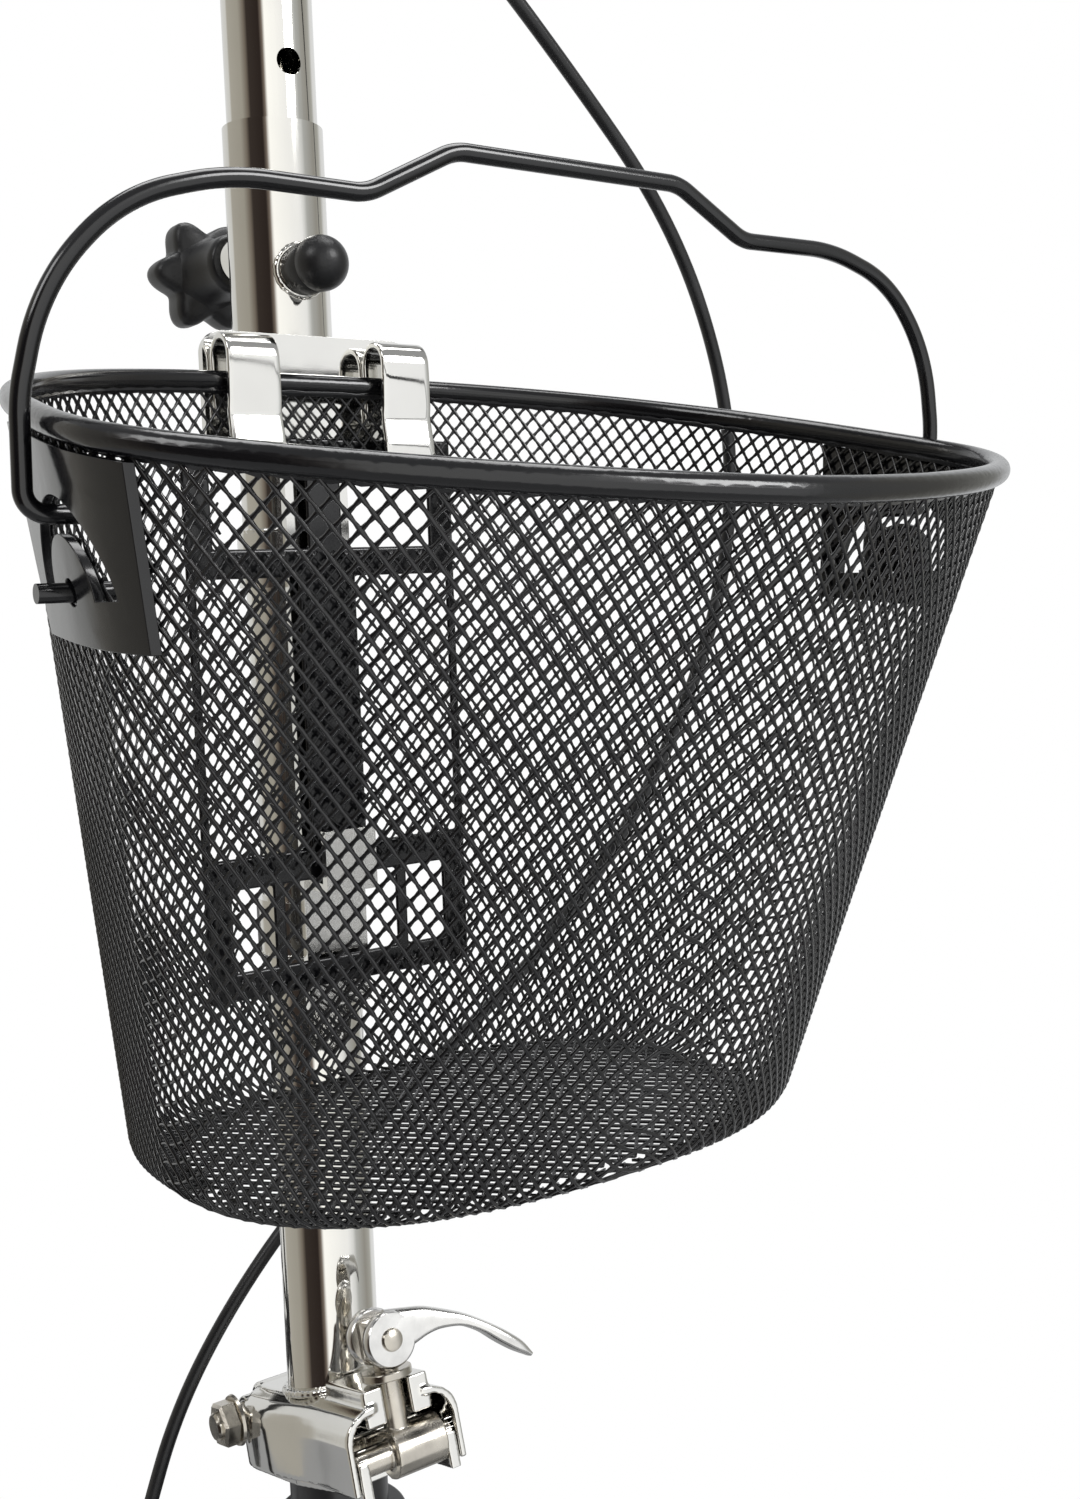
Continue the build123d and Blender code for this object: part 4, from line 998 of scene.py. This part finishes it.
# ---------------------------------------------------------------- wheels
TYRE_HALF, TYRE_RIM, TYRE_OUTER = 0.0170, 0.0802, 0.1000
SHOULDER_RADIUS, SHOULDER_DEPTH = 0.0065, 0.0062
GROOVE_DEPTH, GROOVE_PLACES = 0.0016, (-0.0055, 0.0055)
TREAD_BLOCKS, TREAD_CUT = 48, 0.0010


def make_tyre(word, matrix):
    """A solid tyre with two circumferential grooves, rounded shoulders and a raised sidewall bead."""
    half, rim, outer = TYRE_HALF, TYRE_RIM, TYRE_OUTER
    profile = [(rim, -0.0150), (rim + 0.0015, -0.0158), (rim + 0.0055, -0.0166), (rim + 0.0068, -half),
               (rim + 0.0082, -half), (rim + 0.0095, -0.0166)]
    for turn in range(10, 91, 16):
        across, out = math.cos(math.radians(turn)), math.sin(math.radians(turn))
        profile.append((outer - SHOULDER_RADIUS + SHOULDER_RADIUS * out, -0.0105 - SHOULDER_DEPTH * across))
    for y in GROOVE_PLACES:
        bottom = outer - GROOVE_DEPTH
        profile += [(outer, y - 0.0013), (bottom, y - 0.0007), (bottom, y + 0.0007), (outer, y + 0.0013)]
    profile += [(r, -y) for r, y in reversed(profile[:-8])]
    mesh = lathe(profile, steps=144, name="tyre")
    tread = mesh.attributes.new("tread", "FLOAT", "POINT")
    for i, vertex in enumerate(mesh.vertices):
        radius = math.hypot(vertex.co.x, vertex.co.y)
        angle = math.atan2(vertex.co.y, vertex.co.x)
        shoulder = abs(vertex.co.z) > 0.0080 and radius > outer - 0.006
        if shoulder and math.cos(TREAD_BLOCKS * angle) > 0.35:
            vertex.co.xy *= (radius - TREAD_CUT) / radius
        tread.data[i].value = min(1.0, max(0.0, (radius - outer + 0.006) / 0.005))
    mesh.transform(matrix)
    node = "tyre_" + word
    show(node + "_moulded", smooth_mesh(mesh, 35), node, (node,))


def make_wheels():
    seal = [(0.0066, -0.0006), (0.0066, 0.00005), (0.0075, 0.0002), (0.0128, 0.0002), (0.0134, -0.0006)]
    for joint in (name for name in JOINTS if name.endswith("_spin")):
        word = joint.replace("wheel_", "").replace("_spin", "")
        centre = joint_place(joint)
        make_tyre(word, Matrix.Translation(centre) @ Matrix.Rotation(math.pi / 2, 4, "X"))
        hub = "wheel_hub_" + word
        eased(hub, 0.0008)
        side = math.copysign(1, centre.y)
        for face in (-1, 1):
            seal_at = Matrix.Translation(centre + Vector((0, face * 0.0171, 0)))
            seal_at = seal_at @ Matrix.Rotation(-face * math.pi / 2, 4, "X")
            name = f"bearing_seal_{word}_{'out' if face == side else 'in'}"
            show(name, lathe(seal, seal_at, 48, "seal"), hub)


# ---------------------------------------------------------------- handlebar
GRIP_BORE, GRIP_RADIUS, GRIP_GROOVE = 0.0112, 0.0160, 0.0151
GRIP_RIB_PITCH = 0.0052
GRIP_OFFSET = 0.014


def make_grips():
    """Ribbed grips over the bar's ends, each with a flange and a domed end."""
    inner = STEER @ Vector((-0.009, 0.086, 0.574))
    outer = STEER @ Vector((-0.034, 0.209, 0.578))
    direction = (outer - inner).normalized()
    length = (outer - inner).length - GRIP_OFFSET + 0.0026
    profile = [(GRIP_BORE, 0.0), (0.0180, 0.0), (0.0190, 0.0010), (0.0190, 0.0032), (0.0180, 0.0042),
               (GRIP_RADIUS, 0.0050)]
    z = 0.0080
    while z < length - 0.016:
        profile += [(GRIP_RADIUS, z), (GRIP_RADIUS, z + 0.0028), (GRIP_GROOVE, z + 0.0036),
                    (GRIP_GROOVE, z + 0.0044)]
        z += GRIP_RIB_PITCH
    profile += [(GRIP_RADIUS, length - 0.0130), (GRIP_RADIUS, length - 0.0040), (0.0150, length - 0.0012),
                (0.0125, length), (0, length), (0, length - 0.004), (GRIP_BORE, length - 0.004)]
    meshes = []
    for side in (1, -1):
        flip = Matrix.Diagonal((1, side, 1, 1))
        start = along_axis(inner + direction * GRIP_OFFSET, direction)
        mesh = lathe(profile, flip @ start, 48, "grip", 55)
        if side < 0:
            mesh.flip_normals()
        meshes.append(mesh)
    show("grips_ribbed", join_meshes("grips", meshes), "grips", ("grips",))


def make_handlebar():
    make_grips()
    formed("handlebar_lug", 0.0007, 4, "handlebar_lug_casting")
    formed("brake_lever", 0.0006, 6, "brake_lever_forging")
    formed("brake_perch", 0.0006, 3, "brake_perch_casting")
    eased("bar_screws", 0.0005)


# ---------------------------------------------------------------- knee pad
def rounded_box(length, width, height, corner, edge, name):
    """A block with round corners seen from above and soft upper and lower edges, centred on the origin."""
    bm = bmesh.new()
    bmesh.ops.create_cube(bm, size=1.0, matrix=Matrix.Diagonal((length, width, height, 1)))
    upright = [e for e in bm.edges if abs(e.verts[0].co.z - e.verts[1].co.z) > height / 2]
    round_edges(bm, upright, corner, 10, clamp_overlap=False)
    level = [e for e in sharp_edges(bm, 40) if abs(e.verts[0].co.z - e.verts[1].co.z) < 1e-6
             and abs(abs(e.verts[0].co.z) - height / 2) < 1e-6]
    round_edges(bm, level, edge, 4, clamp_overlap=False)
    return from_bmesh(bm, name)


PAD_SWELL_LIMIT = 0.006
PAD_FRAMES = 20


def swell(piece, bottom):
    """Inflates the cover with the cloth solver, then holds every point near its start and above the tray."""
    add_remesh(piece, 0.005)
    settle(piece)
    start = np.array([v.co for v in piece.data.vertices])
    moved = start
    cloth = piece.modifiers.new("cloth", "CLOTH")
    cloth.settings.use_pressure = True
    cloth.settings.uniform_pressure_force = 4
    cloth.settings.effector_weights.gravity = 0
    cloth.settings.quality = 5
    cloth.point_cache.frame_start, cloth.point_cache.frame_end = 1, PAD_FRAMES
    for step in range(1, PAD_FRAMES + 1):
        bpy.context.scene.frame_set(step)
    settle(piece)
    bpy.context.scene.frame_set(1)
    shift = np.array([v.co for v in piece.data.vertices]) - start
    far = np.linalg.norm(shift, axis=1, keepdims=True)
    moved = start + shift * np.minimum(1, PAD_SWELL_LIMIT / np.maximum(far, 1e-9))
    moved[:, 2] = np.maximum(moved[:, 2], bottom + 0.0004)
    piece.data.vertices.foreach_set("co", moved.astype(np.float32).ravel())
    piece.data.update()


def outline_on(piece, centre, height, count, lift):
    """Points round a pad's side at a height, found by looking inwards from outside."""
    tree = BVHTree.FromObject(piece, bpy.context.evaluated_depsgraph_get())
    points = []
    for i in range(count):
        angle = 2 * math.pi * i / count
        away = Vector((math.cos(angle), math.sin(angle), 0))
        start = Vector((centre.x, centre.y, height)) + away * 0.4
        hit, normal, _, _ = tree.ray_cast(start, -away)
        points.append(hit + normal * lift)
    return points


PIPING_RADIUS = 0.0019
STITCH_RADII = [0.0003, 0.0005, 0.0003]
STITCH_POINTS, STITCH_STEP = 720, 6


def make_knee_pad():
    low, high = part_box("knee_pad")
    centre = (low + high) / 2
    size = high - low
    base = rounded_box(size.x - 0.012, size.y - 0.012, size.z - 0.009, 0.040, 0.013, "knee_pad")
    base.transform(Matrix.Translation(centre - Vector((0, 0, 0.0015))))
    pad = show("knee_pad_cushion", base, "knee_pad", ("knee_pad",), body=False)
    swell(pad, low.z)
    smooth_mesh(pad.data, 0)
    relax = pad.modifiers.new("relax", "SMOOTH")
    relax.iterations = 3
    fine = pad.modifiers.new("fine", "SUBSURF")
    fine.levels = fine.render_levels = 1
    settle(pad)
    for word, height in (("upper", high.z - 0.0150), ("lower", low.z + 0.0110)):
        line = outline_on(pad, centre, height, 220, 0.0004)
        show("pad_piping_" + word, tube(line, PIPING_RADIUS, 10, closed=True), "knee_pad")
        stitches = []
        run = outline_on(pad, centre, height + 0.0055, STITCH_POINTS, 0.0002)
        for k in range(0, STITCH_POINTS, STITCH_STEP):
            points = [run[k], run[(k + 2) % STITCH_POINTS], run[(k + 4) % STITCH_POINTS]]
            stitches.append(tube(points, STITCH_RADII, 5))
        show("pad_stitches_" + word, join_meshes("stitches", stitches), "knee_pad")
    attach(pad, BODY_OF["knee_pad"])


# ---------------------------------------------------------------- brake cable
CABLE_ROUTE = [
    (0.1723, -0.0438, 0.8977), (0.1723, -0.012, 0.8977), (0.176, 0.010, 0.884), (0.177, 0.040, 0.845),
    (0.175, 0.094, 0.801), (0.173, 0.146, 0.753), (0.174, 0.172, 0.698), (0.174, 0.178, 0.646),
    (0.168, 0.170, 0.592), (0.159, 0.146, 0.534), (0.148, 0.114, 0.487), (0.141, 0.080, 0.455),
    (0.137, 0.042, 0.426), (0.136, 0.006, 0.398), (0.135, -0.022, 0.366), (0.133, -0.042, 0.332),
    (0.131, -0.054, 0.294), (0.125, -0.060, 0.261), (0.110, -0.055, 0.235), (0.078, -0.040, 0.222),
    (0.035, -0.0303, 0.221), (-0.010, -0.0303, 0.217), (-0.047, -0.044, 0.212), (-0.068, -0.080, 0.206),
    (-0.078, -0.121, 0.201), (-0.084, -0.150, 0.196), (-0.094, -0.180, 0.192), (-0.1189, -0.180, 0.192)]
# The cable is in four lengths. Each ends in the middle of a run, and each of the first three spans one
# joint.
CABLE_LENGTHS = [
    ("upper", 0, 10, ("handlebar_set", "column"), ((0.172, 0, 0.880), (0.160, 0, 0.530))),
    ("middle", 11, 15, ("column", "steering_base"), ((0.139, 0, 0.440), (0.133, 0, 0.340))),
    ("lower", 16, 18, ("steering_base", "frame"), ((0.132, 0, 0.312), (0.100, 0, 0.232))),
    ("frame", 19, 27, None, None)]
CABLE_RADIUS = 0.0025


def make_cable():
    for word, first, last, bodies, span in CABLE_LENGTHS:
        points = [Vector(p) for p in CABLE_ROUTE[first:last + 1]]
        if first > 0:
            points.insert(0, (Vector(CABLE_ROUTE[first - 1]) + Vector(CABLE_ROUTE[first])) / 2)
        if last < len(CABLE_ROUTE) - 1:
            points.append((Vector(CABLE_ROUTE[last]) + Vector(CABLE_ROUTE[last + 1])) / 2)
        curve = bpy.data.curves.new("cable_" + word, "CURVE")
        curve.dimensions = "3D"
        curve.bevel_depth = CABLE_RADIUS
        curve.bevel_resolution = 6
        curve.use_fill_caps = True
        spline = curve.splines.new("NURBS")
        spline.points.add(len(points) - 1)
        for control, point in zip(spline.points, points):
            control.co = (*point, 1)
        spline.order_u = 3
        spline.use_endpoint_u = True
        spline.resolution_u = 12
        carrier = add_object("cable_" + word, curve)
        bpy.context.view_layer.update()
        evaluated = carrier.evaluated_get(bpy.context.evaluated_depsgraph_get())
        mesh = bpy.data.meshes.new_from_object(evaluated)
        bpy.data.objects.remove(carrier)
        node = "brake_cable_" + word
        piece = show(node + "_housing", smooth_mesh(mesh, 50), node, (node,), body=False if bodies else None)
        if bodies:
            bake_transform(piece)
    outline = [(0.0026, 0), (0.0036, 0), (0.0039, 0.0006), (0.0039, 0.0085), (0.0034, 0.0100),
               (0.0026, 0.0104)]
    for word, end, inward, body in (("lever", 0, 1, "handlebar_set"), ("brake", -1, -2, "frame")):
        start = Vector(CABLE_ROUTE[end])
        ahead = (Vector(CABLE_ROUTE[inward]) - start).normalized()
        ferrule = lathe(outline, along_axis(start, ahead), 32, "ferrule")
        show("cable_ferrule_" + word, ferrule, "fold_bolt", body=body)
    pull = joint_place("brake_arm_swing")
    wire_start = Vector((CABLE_ROUTE[-1][0] - 0.02, -0.180, 0.192))
    wire_end = Vector((pull.x - 0.0125, -0.180, 0.192))
    wire = tube([wire_start.lerp(wire_end, k / 8) for k in range(9)], 0.0008, 8)
    show("brake_inner_wire", wire, "fold_bolt", body="frame")
    nipple = lathe([(0, 0), (0.0022, 0), (0.0026, 0.0005), (0.0026, 0.0050), (0.0022, 0.0055), (0, 0.0055)],
                   along_axis(wire_end, (1, 0, 0)), 24, "nipple")
    show("brake_wire_nipple", nipple, "fold_bolt", body="brake_arm")


# ---------------------------------------------------------------- the rest of the CAD nodes
EASED = {
    "basket_back_frame": 0.0011, "bail_ears": 0.0005, "basket_bracket": 0.0006, "column_bosses": 0.0005,
    "knuckle_left": 0.0012, "knuckle_right": 0.0012, "pitman_arm": 0.0010, "tie_rod_left": 0.0010,
    "tie_rod_right": 0.0010, "kingpins": 0.0008, "rear_axle": 0.0007, "brake_bracket": 0.0007,
    "brake_arm": 0.0008, "brake_shoe": 0.0012, "pad_tray": 0.0010, "post_clamp": 0.0010,
    "post_clamp_lever": 0.0012, "headset_cover": 0.0010, "headset_bearings": 0.0005, "cable_clips": 0.0005,
    "knee_post_socket": 0.0006, "head_tube": 0.0008, "rear_cross_tube": 0.0007}


def finish_nodes():
    """Rounds the edges of the remaining hard parts, and gives every shown CAD node its own finish."""
    for node, width in EASED.items():
        eased(node, width)
    for name, node in frame["nodes"].items():
        node.data.materials.clear()
        node.data.materials.append(MATERIALS[SLOT_OF[name]])


# ---------------------------------------------------------------- studio
CAMERA_PLACE = (0.6269, -0.2300, 0.6529)
CAMERA_HEADING, CAMERA_PITCH = 54.97, -9.07
CAMERA_LENS = 37.54
# The photo is a cut-out: nothing behind the column is in it, so the camera's view ends there
CAMERA_REACH = 0.6130
COLUMN_MIDDLE_X = 0.18


def stage_mesh(name, vertices, faces, material):
    mesh = bpy.data.meshes.new(name)
    mesh.from_pydata(vertices, [], faces)
    mesh.materials.append(material)
    item = add_object(name, mesh)
    return item


def make_floor():
    material, tree, main = shader("studio floor", (0.52, 0.52, 0.52), 0.75)
    set_inputs(main, Emission_Color=(1.0, 1.0, 1.0, 1), Emission_Strength=0.42)
    grain = add_noise(tree, 3, 2)
    tree.links.new(add_ramp(tree, grain, [(0.3, (0.51, 0.51, 0.51)), (0.7, (0.53, 0.53, 0.53))]),
                   main.inputs["Base Color"])
    size = 60.0
    corners = [(-size, -size, 0), (size, -size, 0), (size, size, 0), (-size, size, 0)]
    floor = stage_mesh("studio_floor", corners, [(0, 1, 2, 3)], material)
    floor.visible_glossy = False


# Surround seen in reflections: degrees to the left (-) or right (+) of the camera, and how bright
SURROUND = [(-180, (0.80, 0.81, 0.82)), (-126, (0.72, 0.72, 0.70)), (-119, (0.46, 0.44, 0.39)),
            (-78, (0.40, 0.38, 0.33)), (-62, (0.20, 0.17, 0.14)), (-54, (0.045, 0.035, 0.030)),
            (-22, (0.030, 0.022, 0.019)), (-14, (0.22, 0.18, 0.15)), (-7, (1.25, 1.25, 1.22)),
            (62, (1.00, 1.01, 1.02)), (76, (0.50, 0.51, 0.50)), (104, (0.34, 0.33, 0.30)),
            (126, (0.46, 0.46, 0.43)), (138, (0.82, 0.83, 0.84)), (180, (0.80, 0.81, 0.82))]


def make_surround(heading):
    """A ring of cards round the scooter that only mirrors see: it gives chrome its bands."""
    material, tree, main = shader("surround", (0, 0, 0), 1.0)
    set_inputs(main, Specular_IOR_Level=0.0, Emission_Strength=1.0)
    attribute = tree.nodes.new("ShaderNodeAttribute")
    attribute.attribute_name = "shade"
    tree.links.new(attribute.outputs["Color"], main.inputs["Emission Color"])
    radius, low, high, steps = 2.6, -1.2, 2.5, 240
    vertices, faces, shades = [], [], []
    turns = [stop[0] for stop in SURROUND]
    for i in range(steps):
        turn = -180 + 360 * i / steps
        angle = math.radians(heading + turn)
        x, y = COLUMN_MIDDLE_X + radius * math.cos(angle), radius * math.sin(angle)
        vertices += [(x, y, low), (x, y, high)]
        shade = [float(np.interp(turn, turns, [stop[1][k] for stop in SURROUND])) for k in range(3)]
        shades += [(*shade, 1), (*shade, 1)]
        after = (i + 1) % steps
        faces.append((2 * i, 2 * after, 2 * after + 1, 2 * i + 1))
    card = stage_mesh("surround", vertices, faces, material)
    layer = card.data.color_attributes.new("shade", "FLOAT_COLOR", "POINT")
    layer.data.foreach_set("color", np.array(shades, np.float32).ravel())
    card.visible_camera = False
    card.visible_diffuse = False
    card.visible_shadow = False


def add_light(name, position, target, size, power):
    data = bpy.data.lights.new(name, "AREA")
    data.shape = "RECTANGLE"
    data.size, data.size_y = size
    data.energy = power
    light = add_object(name, data)
    light.location = position
    light.rotation_mode = "QUATERNION"
    light.rotation_quaternion = (Vector(target) - Vector(position)).to_track_quat("-Z", "Y")


def make_world():
    """A white surround to look at, and a dimmer one to light by."""
    world = bpy.data.worlds.new("studio")
    bpy.context.scene.world = world
    world.use_nodes = True
    tree = world.node_tree
    seen = tree.nodes["Background"]
    set_inputs(seen, Color=(1, 1, 1, 1), Strength=1.0)
    lit = tree.nodes.new("ShaderNodeBackground")
    set_inputs(lit, Color=(0.98, 0.99, 1.0, 1), Strength=0.36)
    path = tree.nodes.new("ShaderNodeLightPath")
    mix = tree.nodes.new("ShaderNodeMixShader")
    tree.links.new(path.outputs["Is Camera Ray"], mix.inputs["Fac"])
    tree.links.new(lit.outputs["Background"], mix.inputs[1])
    tree.links.new(seen.outputs["Background"], mix.inputs[2])
    tree.links.new(mix.outputs["Shader"], tree.nodes["World Output"].inputs["Surface"])


def make_studio():
    make_floor()
    make_world()
    bpy.context.scene.view_settings.view_transform = "Standard"
    make_surround(math.degrees(math.atan2(CAMERA_PLACE[1], CAMERA_PLACE[0] - COLUMN_MIDDLE_X)))
    middle = (0.15, 0, 0.55)
    add_light("key", (1.9, 0.9, 1.9), middle, (0.9, 0.9), 26)
    add_light("fill", (0.5, -1.9, 2.2), middle, (0.9, 0.9), 13)
    add_light("top", (-0.2, 0.3, 2.4), middle, (1.5, 1.0), 20)
    data = bpy.data.cameras.new("camera")
    data.sensor_width = 36.0
    data.lens = CAMERA_LENS
    data.clip_start, data.clip_end = 0.02, CAMERA_REACH
    camera = add_object("camera", data)
    camera.location = CAMERA_PLACE
    camera.rotation_euler = (math.radians(90 + CAMERA_PITCH), 0, math.radians(CAMERA_HEADING))
    bpy.context.scene.camera = camera


make_studio()
make_cable()
make_basket()
make_bail()
make_welds()
make_star_knob()
make_plunger()
make_clamp()
make_wheels()
make_handlebar()
make_knee_pad()
finish_nodes()
